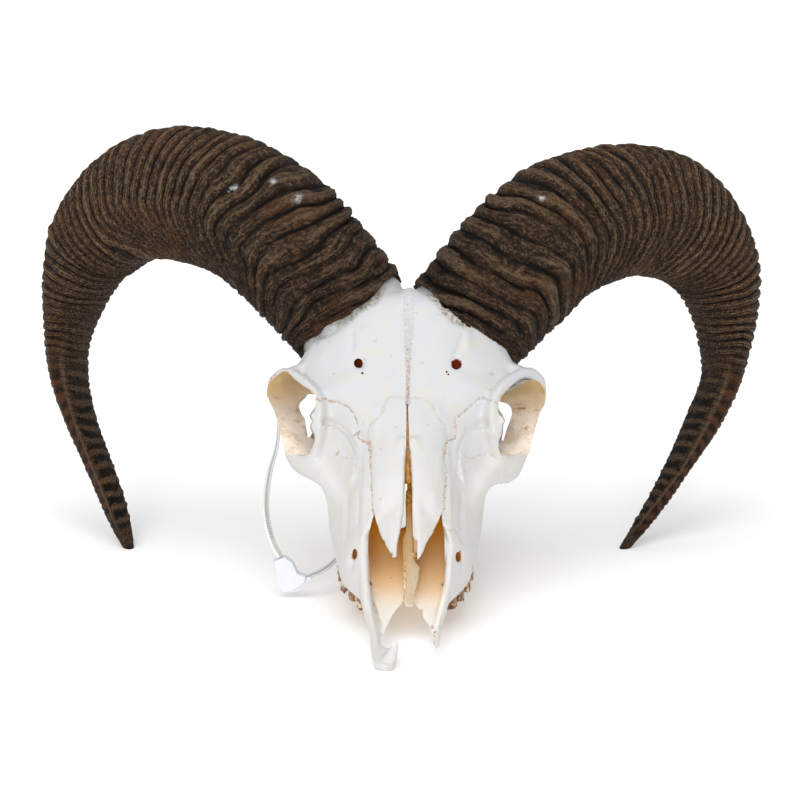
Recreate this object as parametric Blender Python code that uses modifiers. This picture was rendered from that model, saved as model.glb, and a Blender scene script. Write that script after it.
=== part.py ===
# A mouflon ram's skull without its lower jaw, with both horn sheaths and a plastic seal on it.
# It stands on the tip of its nose and on its two horn tips.
#
# Sizes are in millimetres and are turned into metres when a mesh is made.
# Two frames are used. In the bone frame X runs across, Y back from the nose tip and Z up from
# the palate. In the standing frame the floor is Z = 0 and the nose tip is at Y = 0; the bone
# frame is turned about X by BONE_PITCH to stand in it.

import math

import bmesh
import bpy
import numpy as np
from mathutils import Matrix, Vector

MM = 0.001
GAP = 0.3                          # clearance between pieces that meet
BONE_PITCH = math.radians(13.5)    # how far the palate slopes up behind the nose tip
FOOT_TRIM = 0.4                    # how much the floor has flattened the nose tip
RIGHT_INSET_FACE = 2.4             # the right side stands in this much at the cheek teeth
RIGHT_INSET_BACK = 1.4             # and this much from the eye backwards

MASS_VOXEL = 2.0                   # grid that fuses the lofted bone mass
MASS_SMOOTHING = 6                 # rounds of smoothing after that
BONE_VOXEL = 1.25                  # grid that fuses the thin bones to it
BONE_SMOOTHING = 2
CRANIUM_FACES = 3700               # triangles kept on the cranium before its last cuts

HORN_SIDES = 14
HORN_RIDGES = 36
RIDGE_SPACING_BASE = 12.0
RIDGE_SPACING_TIP = 7.2
RIDGE_HEIGHT_BASE = 2.2
RIDGE_HEIGHT_TIP = 0.7
RIDGE_CREST = 0.35                 # a crest's share of the ridge height, above the horn's outline
RIDGE_GROOVE = -0.65               # and a groove's, below it
HORN_CORNERS = 0.05                # how much the section's three corners stand out
# The bony stump under a sheath: (depth below the sheath's base, share of the sheath's outline).
HORN_STUMP = [(26, 0.6), (13, 0.84), (3, 0.9), (-2, 0.9)]
STUMP_SIDES = 28
SEAT_MARGIN = 1.2                  # room cut from the bone round each sheath's base
SEAT_HEIGHT = 34.0

TOOTH_ROOT = 9.0
TOOTH_ROOT_SHARE = 0.78            # the root end's outline as a share of the neck's
TOOTH_CROWN_SHARE = 0.96           # and the chewing surface's
SOCKET_MARGIN = 0.35
TOOTH_CROWN = 4.6
ALVEOLAR_LINE = -2.0               # height of the gum line in the bone frame

STRAP_WIDTH = 3.4
STRAP_THICKNESS = 1.1
SEAL_HEAD_THICKNESS = 6.0

# Half outlines of the bone mass, from the underside's middle round the right side to the top.
# Each row is (across, up); the key is the distance back from the nose tip.
BONE_SECTIONS = {
    53: [(0, 0.5), (8, 0.5), (14, 0.5), (18.5, 1.5), (21.6, 4.5), (22, 8),
         (21, 13), (19, 17), (15, 18.5), (10, 19), (5, 19), (0, 19)],
    58: [(0, 0.5), (8, 0.5), (15, 0), (20, 0.5), (23.5, 4), (24, 9),
         (22.5, 15), (20, 20), (16, 22), (11, 22.5), (5, 23), (0, 23)],
    70: [(0, 1), (9, 0.5), (17, -1), (23, -2), (27.5, 0), (29, 6),
         (28, 14), (24.5, 23), (19.5, 29.5), (15.5, 32), (8, 33), (0, 33.5)],
    78: [(0, 1.5), (10, 1), (18, -1), (24.5, -3), (29.5, -1.5), (31.2, 5),
         (30.5, 13), (26.5, 23.5), (20.5, 32), (16.8, 36.2), (9, 41), (0, 42)],
    88: [(0, 2), (10, 1.5), (19, -1), (25, -3), (30.8, -2), (32.6, 5),
         (32.2, 13), (28.4, 25), (22.4, 36), (17.8, 42), (9.5, 47), (0, 48)],
    100: [(0, 3), (10, 2.5), (20, -1), (26, -3), (32.4, -2), (34.6, 6),
          (35, 16), (31, 28), (24.6, 40), (18.5, 47.5), (10, 52.8), (0, 54)],
    115: [(0, 4), (10, 4), (20, 0), (26, -3), (32.6, -2), (35.4, 6),
          (37, 18), (36.4, 31), (31.5, 44), (22, 54), (11, 60), (0, 61)],
    128: [(0, 14), (8, 12), (15, 3), (21, -2), (28.4, -2), (33, 8),
          (37, 24), (42, 40), (41.6, 54), (31, 64), (14, 67), (0, 67.5)],
    134: [(0, 20), (7, 18), (13, 11), (19, 4), (26, 3), (31.5, 14),
          (38, 32), (43.5, 47), (43.8, 61), (34, 69.6), (15, 71.4), (0, 72)],
    142: [(0, 25), (7, 24), (12, 22), (17, 24), (22, 30), (29, 40),
          (38, 52), (47, 63), (44, 69), (30, 74), (14, 77), (0, 78)],
    156: [(0, 26), (8, 25), (13, 25), (18, 28), (24, 36), (30, 47),
          (38, 58), (50, 67), (48, 74), (34, 82.5), (16, 87.5), (0, 88)],
    172: [(0, 22), (9, 21), (14, 22), (20, 27), (27, 36), (33, 47),
          (38, 57), (46, 66), (45, 77), (34, 90), (16, 97), (0, 98)],
    188: [(0, 19), (10, 18), (16, 19), (23, 25), (31, 35), (35, 46),
          (36, 56), (42, 65), (42, 77), (30, 89), (15, 92), (0, 92)],
    204: [(0, 17), (10, 16), (16, 17), (26, 22), (36, 32), (39, 43),
          (37, 53), (34, 64), (31, 73), (23, 80), (12, 83), (0, 83.5)],
    217: [(0, 16), (8, 16), (14, 18), (24, 24), (34, 34), (36, 43),
          (33, 52), (28, 59), (23, 65), (16, 70), (9, 73), (0, 73.5)],
    227: [(0, 28), (6, 28), (12, 29), (19, 32), (25, 38), (26, 43),
          (24, 48), (20, 52), (16, 56), (11, 59), (5, 60), (0, 60)],
}

# Half outlines of the nasal passage, from the middle of its floor round to the middle of its roof.
NASAL_PASSAGE = {
    34: [(0, 4.6), (8, 4.6), (11, 5.5), (12.5, 8), (13, 30), (0, 34)],
    44: [(0, 4.6), (11, 4.6), (14.8, 6.5), (16.2, 9), (15.8, 34), (0, 38)],
    56: [(0, 5), (13, 5), (17.4, 8), (18.6, 13), (17.4, 36), (0, 42)],
    68: [(0, 6), (14, 6), (19, 10), (20, 16), (16.6, 32), (0, 42)],
    78: [(0, 7), (14, 7), (19.4, 11), (20.6, 17), (14.5, 32.5), (0, 38.5)],
    90: [(0, 8), (14, 8), (19.5, 12), (21.2, 20), (16, 37.5), (0, 45)],
    100: [(0, 10), (13, 10), (18.5, 14), (20.4, 22), (16.4, 42), (0, 50)],
    107: [(0, 11.5), (12, 11.5), (17, 16), (19, 24), (16, 45), (0, 53)],
    115: [(0, -4), (10.6, -4), (13, 6), (17, 24), (14.5, 47), (0, 56)],
    128: [(0, -5), (10.4, -5), (11.6, 8), (14.5, 24), (12.5, 44), (0, 54)],
    140: [(0, -5), (10, -5), (10.6, 6), (11, 18), (8.6, 26), (0, 29)],
    152: [(0, -6), (10, -6), (10.4, 2), (10, 12), (7.6, 19), (0, 22)],
}

# The nose bones: (back, middle edge, outer edge, height at the middle, height at the outer edge).
NOSE_BONE_LEFT = [(48.5, -5.2, -6.4, 28.6, 28.2), (53, -4.4, -8.6, 31, 29.3), (60, -3.6, -11.4, 34.4, 30.6),
                  (68, -3, -13.8, 38.2, 32), (77, -2.4, -15.6, 42.4, 34.6), (90, -1.5, -17, 49, 40),
                  (104, -1.1, -17.4, 56.2, 45.6), (117, -0.9, -17, 62.4, 50.4), (126, -0.8, -12, 66.4, 60)]
NOSE_BONE_RIGHT = [(48.5, 3, 4.2, 27.6, 27.4), (53, 2.8, 6.8, 30.2, 29.4), (62, 2.6, 10.4, 35, 31.6),
                   (70, 2.4, 13, 39, 33.2), (77, 2.2, 15, 42.4, 34.8), (90, 1.8, 17, 49, 40),
                   (104, 1.1, 17.4, 56.2, 45.6), (117, 0.7, 17, 62.4, 50.4), (126, 0.6, 12, 66.4, 60)]
NOSE_BONE_THICKNESS = 2.6
# The slit between them, as (across, distance along the sloping nose from a point on its back).
NOSE_SLIT = [(-0.35, 38), (-0.6, 20), (-1.3, 2), (-2.6, -20), (-5, -56), (3, -56), (2.2, -20),
             (1.7, 2), (0.7, 20), (0.4, 38)]
NOSE_SLIT_PIVOT = (90, 48)
NOSE_SLOPE = math.radians(26)
NOSE_SLIT_DEPTH = 13

# The bar in front of the nasal passage on the left is whole and ends in a hook; the right one is
# broken off short. Outlines are (across, back), and the plates lie along the palate's slope.
PREMAXILLA_LEFT = [(-23, 64), (-20.6, 47), (-17.6, 33), (-16.6, 24), (-16.4, 11), (-15.2, 3.6),
                   (-12.4, 0.6), (-9, -0.6), (-6.2, 1), (-4.9, 5), (-4.3, 14), (-4.6, 18.4),
                   (-6, 20.4), (-7.4, 17.6), (-8.6, 13.2), (-10.2, 13.4), (-11.6, 18), (-12.6, 27),
                   (-13.8, 39.6), (-15.6, 50), (-17.6, 64)]
PREMAXILLA_RIGHT = [(22.6, 64), (18.6, 50), (16, 38), (14, 24), (13.4, 17), (11.8, 15.2),
                    (10.6, 19), (10.2, 28), (11.4, 40), (13.2, 52), (16.6, 64)]
PALATE_TONGUE_LEFT = [(-19, 72), (-15.4, 51), (-12.4, 35), (-11.4, 27), (-10.4, 26.6), (-8.4, 34),
                      (-4.8, 45), (-1.6, 53), (0.4, 58), (0.4, 72)]
PALATE_TONGUE_RIGHT = [(19, 72), (14.6, 52), (12.4, 34), (12.2, 18), (11, 18.4), (9, 30),
                       (5.6, 42), (2.2, 51), (-0.4, 58), (-0.4, 72)]
PLATE_SLOPE = math.radians(2.4)
PREMAXILLA_THICKNESS = 3.2
TONGUE_THICKNESS = 2.6
PLATE_DROP = 0.2                   # the plates' undersides lie this much below the palate's line

# Bars: rows of (across, back, up, half width, half thickness).
FRONT_BAR_LEFT = [(-19.6, 66, 18, 2.6, 7), (-19.4, 56, 12.5, 2.7, 5.5), (-17.8, 42, 7, 2.6, 3.6),
                  (-15, 26, 3.6, 2.1, 2.2), (-13.6, 12, 2.4, 1.6, 1.4)]
FRONT_BAR_RIGHT = [(19.4, 66, 18, 2.6, 7), (18.4, 54, 11.5, 2.7, 5.2), (15, 40, 6.2, 2.4, 3.4),
                   (12.4, 27, 3.6, 1.9, 2), (12, 19, 2.6, 1.3, 1.3)]
SEPTUM_FOOT = [(0.5, 47, 5, 2.5, 2), (0.6, 70, 7, 2.5, 2.6), (0.8, 100, 9, 2.5, 3)]
WING_PLATE = [(13, 106, 14, 11, 1.5), (13, 122, 15, 12, 1.4), (12.6, 136, 17, 10, 1.3),
              (12.4, 148, 20, 6, 1.3)]
CHEEK_BAR = [(29.5, 101, 27, 4, 3.4), (34.4, 110, 31, 5, 4), (41, 119, 33.4, 5.8, 4.2),
             (49.2, 130, 32.6, 6.6, 4), (54.8, 143, 35, 6.6, 3.2), (56, 157, 40.2, 5.4, 2.8),
             (55.2, 170, 44, 4.8, 2.8), (52.6, 181, 46, 4.6, 3), (46.6, 192, 47, 5, 4),
             (37, 201, 46, 6.4, 6)]
JUGULAR_PROCESS = [(28, 210, 34, 5, 5), (29, 213, 18, 5, 4), (27, 214, 4, 3.8, 3), (25, 214, -4, 2, 1.6)]
NAPE_CREST = [(-38, 212, 43, 5, 2.5), (-34, 217, 56, 5, 2.5), (-21, 218, 67, 5, 2.5), (0, 219, 72, 5, 2.5),
              (21, 218, 67, 5, 2.5), (34, 217, 56, 5, 2.5), (38, 212, 43, 5, 2.5)]
GREAT_HOLE = [(0, 240, 30, 11, 10), (0, 222, 32, 10.5, 9.5), (0, 205, 36, 11, 11), (0, 185, 42, 6, 6)]
BROW_HOLE = [(22, 141, 82, 2.1, 2.1), (22, 150, 62, 2.1, 2.1)]
FACE_HOLE = [(28.8, 60, 13.6, 2.6, 1.7), (19.8, 73, 20.2, 2.6, 1.7)]
ACROSS = (1, 0, 0)                 # the directions that a bar's half width can lie in
BACK = (0, 1, 0)
UP = (0, 0, 1)
SLANTED = (0.8, 0.6, 0)

# Rounded knobs of one side: centre and radii.
KNOBS = {
    "condyle": ((11.5, 221, 19), (7.5, 10, 9.5)),
    "ear_capsule": ((21, 193, 14), (8, 12, 9)),
    "ear_base": ((34, 204, 36), (10, 10, 12)),
    "brain_side": ((20, 193, 52), (18, 28, 26)),
}
# Hollows of one side: centre, radii and turn about the vertical.
HOLLOWS = {
    "eye_socket": ((47.5, 143, 51), (24, 18, 16.4), math.radians(-31)),
    "temple": ((52, 178, 50), (17, 20, 17), 0),
    "tear_pit": ((37, 109.5, 50), (8.4, 9.5, 8), math.radians(-24)),
}

# The septum's outline (back, up) and its place across the nose.
SEPTUM_OUTLINE = [(48, 2.5), (50, 8), (60, 16), (74, 27), (90, 39), (104, 47), (124, 56),
                  (126, 30), (112, 18), (104, 4), (70, 2.5)]
SEPTUM_MIDDLE = 1.0
SEPTUM_THICKNESS = 3.0

# The rim of one eye socket: rows of (across, back, up, half size).
ORBIT_RIM = [(40.4, 123, 52, 3), (40, 127, 61, 3), (43, 134, 67, 2.8), (49, 142, 69.6, 2.6),
             (56.4, 149.5, 69.4, 2.6), (62, 153.5, 64, 2.4), (63.6, 154.6, 56, 2.4), (61.2, 152, 47, 2.8),
             (57.2, 144, 38, 3.4), (51.5, 132, 33.5, 4), (45, 124.5, 37, 3.8),
             (41.4, 122, 44, 3.2)]
# The wall behind the eye: rim point, inner point, half thickness.
ORBIT_BAND = [((54, 146, 72), (38, 160, 71), 2.4), ((60.6, 152, 66), (44, 166, 62), 2.2),
              ((63.4, 155, 56), (50, 168, 53), 2.2), ((61.2, 153, 47), (50.5, 166, 43), 2.3),
              ((57.6, 146, 39), (48, 157, 36), 2.5), ((53, 137, 33), (45, 148, 31), 2.8)]

# The horns in the standing frame: (across, back, up, width in the arch's plane, depth).
HORN_LEFT = [(-25.6, 166.3, 119.7, 57, 64), (-51.4, 172.8, 149.2, 63, 64), (-71.5, 185.7, 164, 64.8, 62),
             (-96.2, 204.1, 169.9, 64.9, 58), (-118.8, 221.8, 168.1, 61.8, 53.8),
             (-138.9, 236.2, 158, 55.6, 50.4), (-154.6, 245.8, 141.2, 47.7, 45.8),
             (-161.9, 248.3, 126.6, 37.5, 41.5), (-166.5, 248.8, 111.6, 27.9, 38.6),
             (-169.9, 245.7, 91.8, 17.6, 31.3), (-168.4, 239, 73.7, 14.7, 27),
             (-162.2, 228.9, 55.8, 12.2, 22.3), (-153.3, 217, 38.3, 11.1, 17.9),
             (-144.8, 204.8, 21.3, 10.7, 13.8), (-139.2, 197, 7.9, 8.3, 9.5), (-135.3, 192, -1.4, 4, 4.6)]
HORN_RIGHT = [(24.4, 166, 114.8, 57, 64), (46.4, 172, 138.5, 64, 64), (66, 184.8, 154.3, 64.9, 62),
              (85.4, 200.1, 160.2, 64.6, 58.5), (106.1, 217.9, 161.1, 62.9, 54.2),
              (125.4, 232.4, 155.9, 61.1, 52.1), (141.1, 243, 144.6, 54.7, 48.7),
              (152.5, 248.7, 128.6, 45.3, 45.3), (157.7, 248.7, 110.9, 33.3, 40),
              (158.9, 245.8, 91.5, 21.9, 33.1), (156.3, 239.2, 73.4, 15.2, 27),
              (147.1, 229.1, 55.4, 14, 23.6), (135.4, 216.9, 38.4, 10.3, 17.4),
              (122.8, 204.9, 21.1, 7.8, 12), (112.4, 196.9, 8.1, 6, 8.2), (104.4, 192, -1.6, 4, 4.6)]
HORN_ARCH_CENTRE = (98.0, 210.0, 92.0)

# Teeth from the front: (across, back, length along the row, width, number of lobes).
TEETH = [(19.8, 64.8, 6.8, 6.2, 1), (22.8, 72.8, 8.0, 7.8, 1), (25.6, 81.8, 8.8, 9.2, 1),
         (26.8, 92.6, 11.8, 10.6, 2), (27.2, 105.8, 13.4, 11.2, 2), (26.8, 120.0, 14.2, 10.4, 2)]
PREMOLAR_PLAN = [(-0.5, 0.28), (-0.2, 0.5), (0.2, 0.5), (0.5, 0.28), (0.42, -0.3), (0.15, -0.5),
                 (-0.15, -0.5), (-0.42, -0.3)]
MOLAR_PLAN = [(-0.5, 0.42), (-0.25, 0.5), (0, 0.38), (0.25, 0.5), (0.5, 0.42), (0.4, -0.46),
              (0, -0.3), (-0.4, -0.46)]
OUTER_CUSP = 0.45                  # points of a plan further out than this are outer cusps
CUSP_DROP = 1.3                    # how far the outer cusps stand below the chewing surface

# The seal's strap from the head round the cheek bar and back, and its head, standing frame.
STRAP_ROUTE = [(-59.4, 111, 20.2), (-62.4, 114, 25), (-65.2, 121, 33), (-66.0, 129, 42),
               (-64.6, 138, 52), (-61.8, 146, 61), (-60.8, 153, 69), (-61.2, 158.4, 77),
               (-61.2, 162.4, 85), (-58.8, 164.8, 90.8), (-53.4, 165.4, 93.6), (-48.4, 164.8, 92.4),
               (-46.4, 164.4, 88), (-48.4, 164, 83.4), (-52, 163.2, 79.4), (-54.0, 162, 74.6),
               (-52.4, 160, 68.6), (-46.6, 157.6, 62), (-41, 154, 53), (-36, 148, 41.5), (-31.6, 139, 29.4),
               (-30.6, 131, 20.4), (-33.4, 123, 14.6), (-39.2, 115.6, 11.4), (-46.2, 110.4, 9.6)]
STRAP_LOOP_AXIS = (0, 0.83, -0.56)
STRAP_TWIST_END = 0.36             # share of the strap over which its quarter turn dies out
SEAL_HEAD = [(-62, 17.4), (-56.6, 19.6), (-53, 17.1), (-50.6, 11.6), (-46.9, 10.4), (-47.4, 7.4),
             (-50.6, 5), (-53.8, 3.2), (-57.8, 2.8), (-60, 6), (-60.6, 12)]
SEAL_HEAD_BACK = 110.0

BONE_WHITE = (0.86, 0.85, 0.82)
HORN_BROWN = (0.055, 0.035, 0.024)
TOOTH_TAN = (0.5, 0.36, 0.22)
SEAL_WHITE = (0.9, 0.91, 0.93)


def clear_scene():
    for thing in list(bpy.data.objects):
        bpy.data.objects.remove(thing, do_unlink=True)


def make_collection(name):
    collection = bpy.data.collections.new(name)
    bpy.context.scene.collection.children.link(collection)
    return collection


def make_object(name, mesh, collection):
    data = bpy.data.meshes.new(name)
    mesh.to_mesh(data)
    mesh.free()
    thing = bpy.data.objects.new(name, data)
    collection.objects.link(thing)
    return thing


def spline(points, steps, closed=False):
    """A smooth curve through the rows of an array, with the given steps in each span."""
    points = np.asarray(points, float)
    count = len(points)
    spans = count if closed else count - 1
    rows = []
    for i in range(spans):
        if closed:
            p0, p1, p2, p3 = (points[(i + k) % count] for k in (-1, 0, 1, 2))
        else:
            p0, p1, p2, p3 = (points[min(max(i + k, 0), count - 1)] for k in (-1, 0, 1, 2))
        for k in range(steps):
            t = k / steps
            rows.append(0.5 * (2 * p1 + (p2 - p0) * t + (2 * p0 - 5 * p1 + 4 * p2 - p3) * t ** 2
                               + (3 * p1 - p0 - 3 * p2 + p3) * t ** 3))
    if not closed:
        rows.append(points[-1])
    return np.array(rows)


def loft(name, rings, collection, closed=False):
    """A closed solid through rings of equally many points; an unclosed row gets end faces."""
    mesh = bmesh.new()
    rows = [[mesh.verts.new(Vector(point) * MM) for point in ring] for ring in rings]
    pairs = list(zip(rows, rows[1:])) + ([(rows[-1], rows[0])] if closed else [])
    for low, high in pairs:
        for a in range(len(low)):
            b = (a + 1) % len(low)
            mesh.faces.new((low[a], low[b], high[b], high[a]))
    if not closed:
        mesh.faces.new(list(reversed(rows[0])))
        mesh.faces.new(rows[-1])
    bmesh.ops.recalc_face_normals(mesh, faces=mesh.faces)
    return make_object(name, mesh, collection)


def outline_loft(name, sections, collection, around=3, along=4):
    """A body through mirrored half outlines, each at its own distance back."""
    rings = []
    for back, half in sections.items():
        half = np.array(half, float)
        whole = np.vstack([half, half[-2:0:-1] * (-1, 1)])
        ring = spline(whole, around, closed=True)
        rings.append(np.column_stack([ring[:, 0], np.full(len(ring), float(back)), ring[:, 1]]))
    return loft(name, spline(np.array(rings), along), collection)


def strip(name, centres, widths, thicknesses, collection, sides=12, steps=3, closed=False):
    """A bar with an elliptical section; widths are half-width vectors, thicknesses half sizes."""
    centres = spline(centres, steps, closed)
    widths = spline(widths, steps, closed)
    thicknesses = spline(np.reshape(thicknesses, (-1, 1)), steps, closed)
    if closed:
        runs = np.roll(centres, -1, axis=0) - np.roll(centres, 1, axis=0)
    else:
        runs = np.gradient(centres, axis=0)
    flats = np.cross(runs, widths)
    flats *= thicknesses / np.linalg.norm(flats, axis=1, keepdims=True)
    angles = np.arange(sides) * 2 * math.pi / sides
    rings = [centre + np.outer(np.cos(angles), width) + np.outer(np.sin(angles), flat)
             for centre, width, flat in zip(centres, widths, flats)]
    return loft(name, rings, collection, closed)


def blob(name, centre, radii, collection, turn=0.0):
    """An ellipsoid, turned about the vertical."""
    mesh = bmesh.new()
    bmesh.ops.create_uvsphere(mesh, u_segments=28, v_segments=18, radius=1.0)
    size = Matrix.Diagonal((*(radius * MM for radius in radii), 1))
    place = Matrix.Translation(Vector(centre) * MM)
    mesh.transform(place @ Matrix.Rotation(turn, 4, "Z") @ size)
    return make_object(name, mesh, collection)


def plate(name, outline, thickness, place, collection):
    """A flat piece from a 2D curve, turned into a mesh and put in its place."""
    curve = bpy.data.curves.new(name, "CURVE")
    curve.dimensions = "2D"
    curve.fill_mode = "BOTH"
    curve.extrude = thickness / 2 * MM
    line = curve.splines.new("POLY")
    line.points.add(len(outline) - 1)
    for point, (a, b) in zip(line.points, outline):
        point.co = (a * MM, b * MM, 0, 1)
    line.use_cyclic_u = True
    guide = bpy.data.objects.new(name + "_curve", curve)
    collection.objects.link(guide)
    guide.matrix_world = place
    bpy.context.view_layer.update()
    graph = bpy.context.evaluated_depsgraph_get()
    data = bpy.data.meshes.new_from_object(guide.evaluated_get(graph))
    mesh = bmesh.new()
    mesh.from_mesh(data)
    bmesh.ops.remove_doubles(mesh, verts=mesh.verts, dist=1e-6)
    mesh.transform(guide.matrix_world)
    bmesh.ops.recalc_face_normals(mesh, faces=mesh.faces)
    bpy.data.objects.remove(guide, do_unlink=True)
    return make_object(name, mesh, collection)


def bake(thing):
    """Replaces an object's mesh by what its modifiers make of it."""
    bpy.context.view_layer.update()
    graph = bpy.context.evaluated_depsgraph_get()
    data = bpy.data.meshes.new_from_object(thing.evaluated_get(graph))
    thing.modifiers.clear()
    thing.data = data


def join(name, things, collection):
    mesh = bmesh.new()
    for thing in things:
        mesh.from_mesh(thing.data)
        bpy.data.objects.remove(thing, do_unlink=True)
    return make_object(name, mesh, collection)


def fuse(thing, voxel, smoothing):
    """Makes one skin of overlapping closed shells and rounds it off."""
    remesh = thing.modifiers.new("fuse", "REMESH")
    remesh.mode = "VOXEL"
    remesh.voxel_size = voxel * MM
    smooth = thing.modifiers.new("round off", "SMOOTH")
    smooth.factor = 0.5
    smooth.iterations = smoothing
    bake(thing)


def carve(thing, cutters):
    """Cuts each cutter out of the object, then throws the cutters away."""
    for cutter in cutters:
        cut = thing.modifiers.new("cut " + cutter.name, "BOOLEAN")
        cut.operation = "DIFFERENCE"
        cut.solver = "EXACT"
        cut.object = cutter
    bake(thing)
    for cutter in cutters:
        bpy.data.objects.remove(cutter, do_unlink=True)


def bar(name, rows, direction, making, side=1, sides=12, steps=3):
    """A strip from rows of (across, back, up, half width, half thickness)."""
    rows = np.array(rows, float)
    mirror = (side, 1, 1)
    widths = rows[:, 3:4] * np.array(direction) * mirror
    return strip(name, rows[:, :3] * mirror, widths, rows[:, 4], making, sides, steps)


def right_inset(across, back):
    """How far the skull's right side stands in from a mirror image of its left side."""
    full = np.interp(back, (100, 150), (RIGHT_INSET_FACE, RIGHT_INSET_BACK))
    return full * min(max((across - 12) / 16, 0), 1)


def bone_mass(making):
    pieces = [outline_loft("mass", BONE_SECTIONS, making), bar("nape_crest", NAPE_CREST, BACK, making)]
    for side in (-1, 1):
        for name, (centre, radii) in KNOBS.items():
            pieces.append(blob(name, (side * centre[0], *centre[1:]), radii, making))
        pieces.append(bar("jugular_process", JUGULAR_PROCESS, SLANTED, making, side))
    return pieces


def horn_frames(path):
    """Centres, run directions, outward directions, depth directions, widths and depths."""
    side = math.copysign(1, path[0][0])
    rows = spline(path, 24)
    centres = rows[:, :3]
    run = np.gradient(centres, axis=0)
    run /= np.linalg.norm(run, axis=1, keepdims=True)
    outward = centres - (side * HORN_ARCH_CENTRE[0], *HORN_ARCH_CENTRE[1:])
    outward -= run * np.sum(outward * run, axis=1, keepdims=True)
    outward /= np.linalg.norm(outward, axis=1, keepdims=True)
    return centres, run, outward, np.cross(run, outward), rows[:, 3], rows[:, 4]


def horn_outline(width, depth, sides, growth=0.0):
    """The sheath's rounded, slightly three-cornered section as (outward, depthward) points."""
    angles = np.arange(sides) * 2 * math.pi / sides
    corner = 1 + HORN_CORNERS * np.cos(3 * angles)
    across = (width / 2 + growth) * corner * np.cos(angles)
    depthward = (depth / 2 + growth) * corner * np.sin(angles)
    return across, depthward


def horn_ring(frames, index, sides, growth=0.0, shift=0.0):
    centres, run, outward, depthward, widths, depths = (column[index] for column in frames)
    across, deep = horn_outline(widths, depths, sides, growth)
    return centres + run * shift + np.outer(across, outward) + np.outer(deep, depthward)


def horn_sheath(name, path, parts):
    """Rings along the horn, alternately on a ridge and in a groove."""
    frames = horn_frames(path)
    steps = np.linalg.norm(np.diff(frames[0], axis=0), axis=1)
    along = np.concatenate([[0], np.cumsum(steps)])
    share = np.linspace(0, 1, 2 * HORN_RIDGES + 1)
    spacing = RIDGE_SPACING_BASE + (RIDGE_SPACING_TIP - RIDGE_SPACING_BASE) * share
    places = np.concatenate([[0], np.cumsum(spacing[:-1])])
    places *= along[-1] / places[-1]
    rings = []
    for number, place in enumerate(places):
        index = int(np.searchsorted(along, place))
        index = min(index, len(along) - 1)
        height = RIDGE_HEIGHT_BASE + (RIDGE_HEIGHT_TIP - RIDGE_HEIGHT_BASE) * place / along[-1]
        growth = height * (RIDGE_CREST if number % 2 else RIDGE_GROOVE)
        if number in (0, 2 * HORN_RIDGES):
            growth = 0.0
        rings.append(horn_ring(frames, index, HORN_SIDES, growth))
    sheath = loft(name, rings, parts)
    flatten_at_floor(sheath)
    return sheath, frames


def flatten_at_floor(thing):
    """Cuts off what would be below the floor and closes the cut."""
    mesh = bmesh.new()
    mesh.from_mesh(thing.data)
    geometry = list(mesh.verts) + list(mesh.edges) + list(mesh.faces)
    cut = bmesh.ops.bisect_plane(mesh, geom=geometry, plane_co=(0, 0, 0), plane_no=(0, 0, 1),
                                 clear_inner=True, dist=1e-6)
    rim = [item for item in cut["geom_cut"] if isinstance(item, bmesh.types.BMEdge)]
    bmesh.ops.edgenet_fill(mesh, edges=rim)
    bmesh.ops.recalc_face_normals(mesh, faces=mesh.faces)
    mesh.to_mesh(thing.data)
    mesh.free()


def standing_place():
    """What turns the bone frame into the standing one."""
    return Matrix.Translation((0, 0, -FOOT_TRIM * MM)) @ Matrix.Rotation(BONE_PITCH, 4, "X")


def to_bone_frame(points):
    turn = np.array(Matrix.Rotation(-BONE_PITCH, 3, "X"))
    return np.asarray(points) @ turn.T


def horn_stump(frames, making):
    """The bony stump that carries a sheath, from inside the skull to just past the sheath's base."""
    rings = []
    for depth, share in HORN_STUMP:
        ring = horn_ring(frames, 0, STUMP_SIDES, 0.0, -depth)
        centre = frames[0][0] - frames[1][0] * depth
        rings.append(to_bone_frame(centre + (ring - centre) * share))
    return loft("horn_stump", rings, making)


def bone_cavities(making):
    cutters = [outline_loft("nasal_passage", NASAL_PASSAGE, making, around=4),
               bar("great_hole", GREAT_HOLE, ACROSS, making)]
    for side in (-1, 1):
        for name, (centre, radii, turn) in HOLLOWS.items():
            cutters.append(blob(name, (side * centre[0], *centre[1:]), radii, making, side * turn))
    return cutters


def nose_bone(name, rows, making):
    """A long plate that slopes down from its middle edge to its outer edge."""
    rows = np.array(rows)
    middle = np.column_stack([rows[:, 1], rows[:, 0], rows[:, 3]])
    outer = np.column_stack([rows[:, 2], rows[:, 0], rows[:, 4]])
    half = NOSE_BONE_THICKNESS / 2
    centres = (middle + outer) / 2 - (0, 0, half)
    return strip(name, centres, (outer - middle) / 2, [half] * len(rows), making, sides=16)


def front_plate(outline, thickness, making):
    """A thin plate of the palate's front, lying along the palate's slope."""
    lift = Matrix.Translation((0, 0, (thickness / 2 - PLATE_DROP) * MM))
    return plate("front_plate", outline, thickness, lift @ Matrix.Rotation(PLATE_SLOPE, 4, "X"), making)


def septum(making):
    """The upright board in the middle of the nose and the gutter bone that it stands in."""
    upright = Matrix(((0, 0, 1, SEPTUM_MIDDLE * MM), (1, 0, 0, 0), (0, 1, 0, 0), (0, 0, 0, 1)))
    return [plate("septum", SEPTUM_OUTLINE, SEPTUM_THICKNESS, upright, making),
            bar("septum_foot", SEPTUM_FOOT, ACROSS, making)]


def orbit_rim(side, making):
    rim = np.array(ORBIT_RIM)
    rim[:, 0] *= side
    outward = rim[:, :3] - rim[:, :3].mean(axis=0)
    outward *= rim[:, 3:] / np.linalg.norm(outward, axis=1, keepdims=True)
    return strip("orbit_rim", rim[:, :3], outward, rim[:, 3], making, closed=True)


def orbit_band(side, making):
    rims = np.array([row[0] for row in ORBIT_BAND], float) * (side, 1, 1)
    inners = np.array([row[1] for row in ORBIT_BAND], float) * (side, 1, 1)
    thicknesses = [row[2] for row in ORBIT_BAND]
    return strip("orbit_band", (rims + inners) / 2, (rims - inners) / 2, thicknesses, making)


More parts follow.
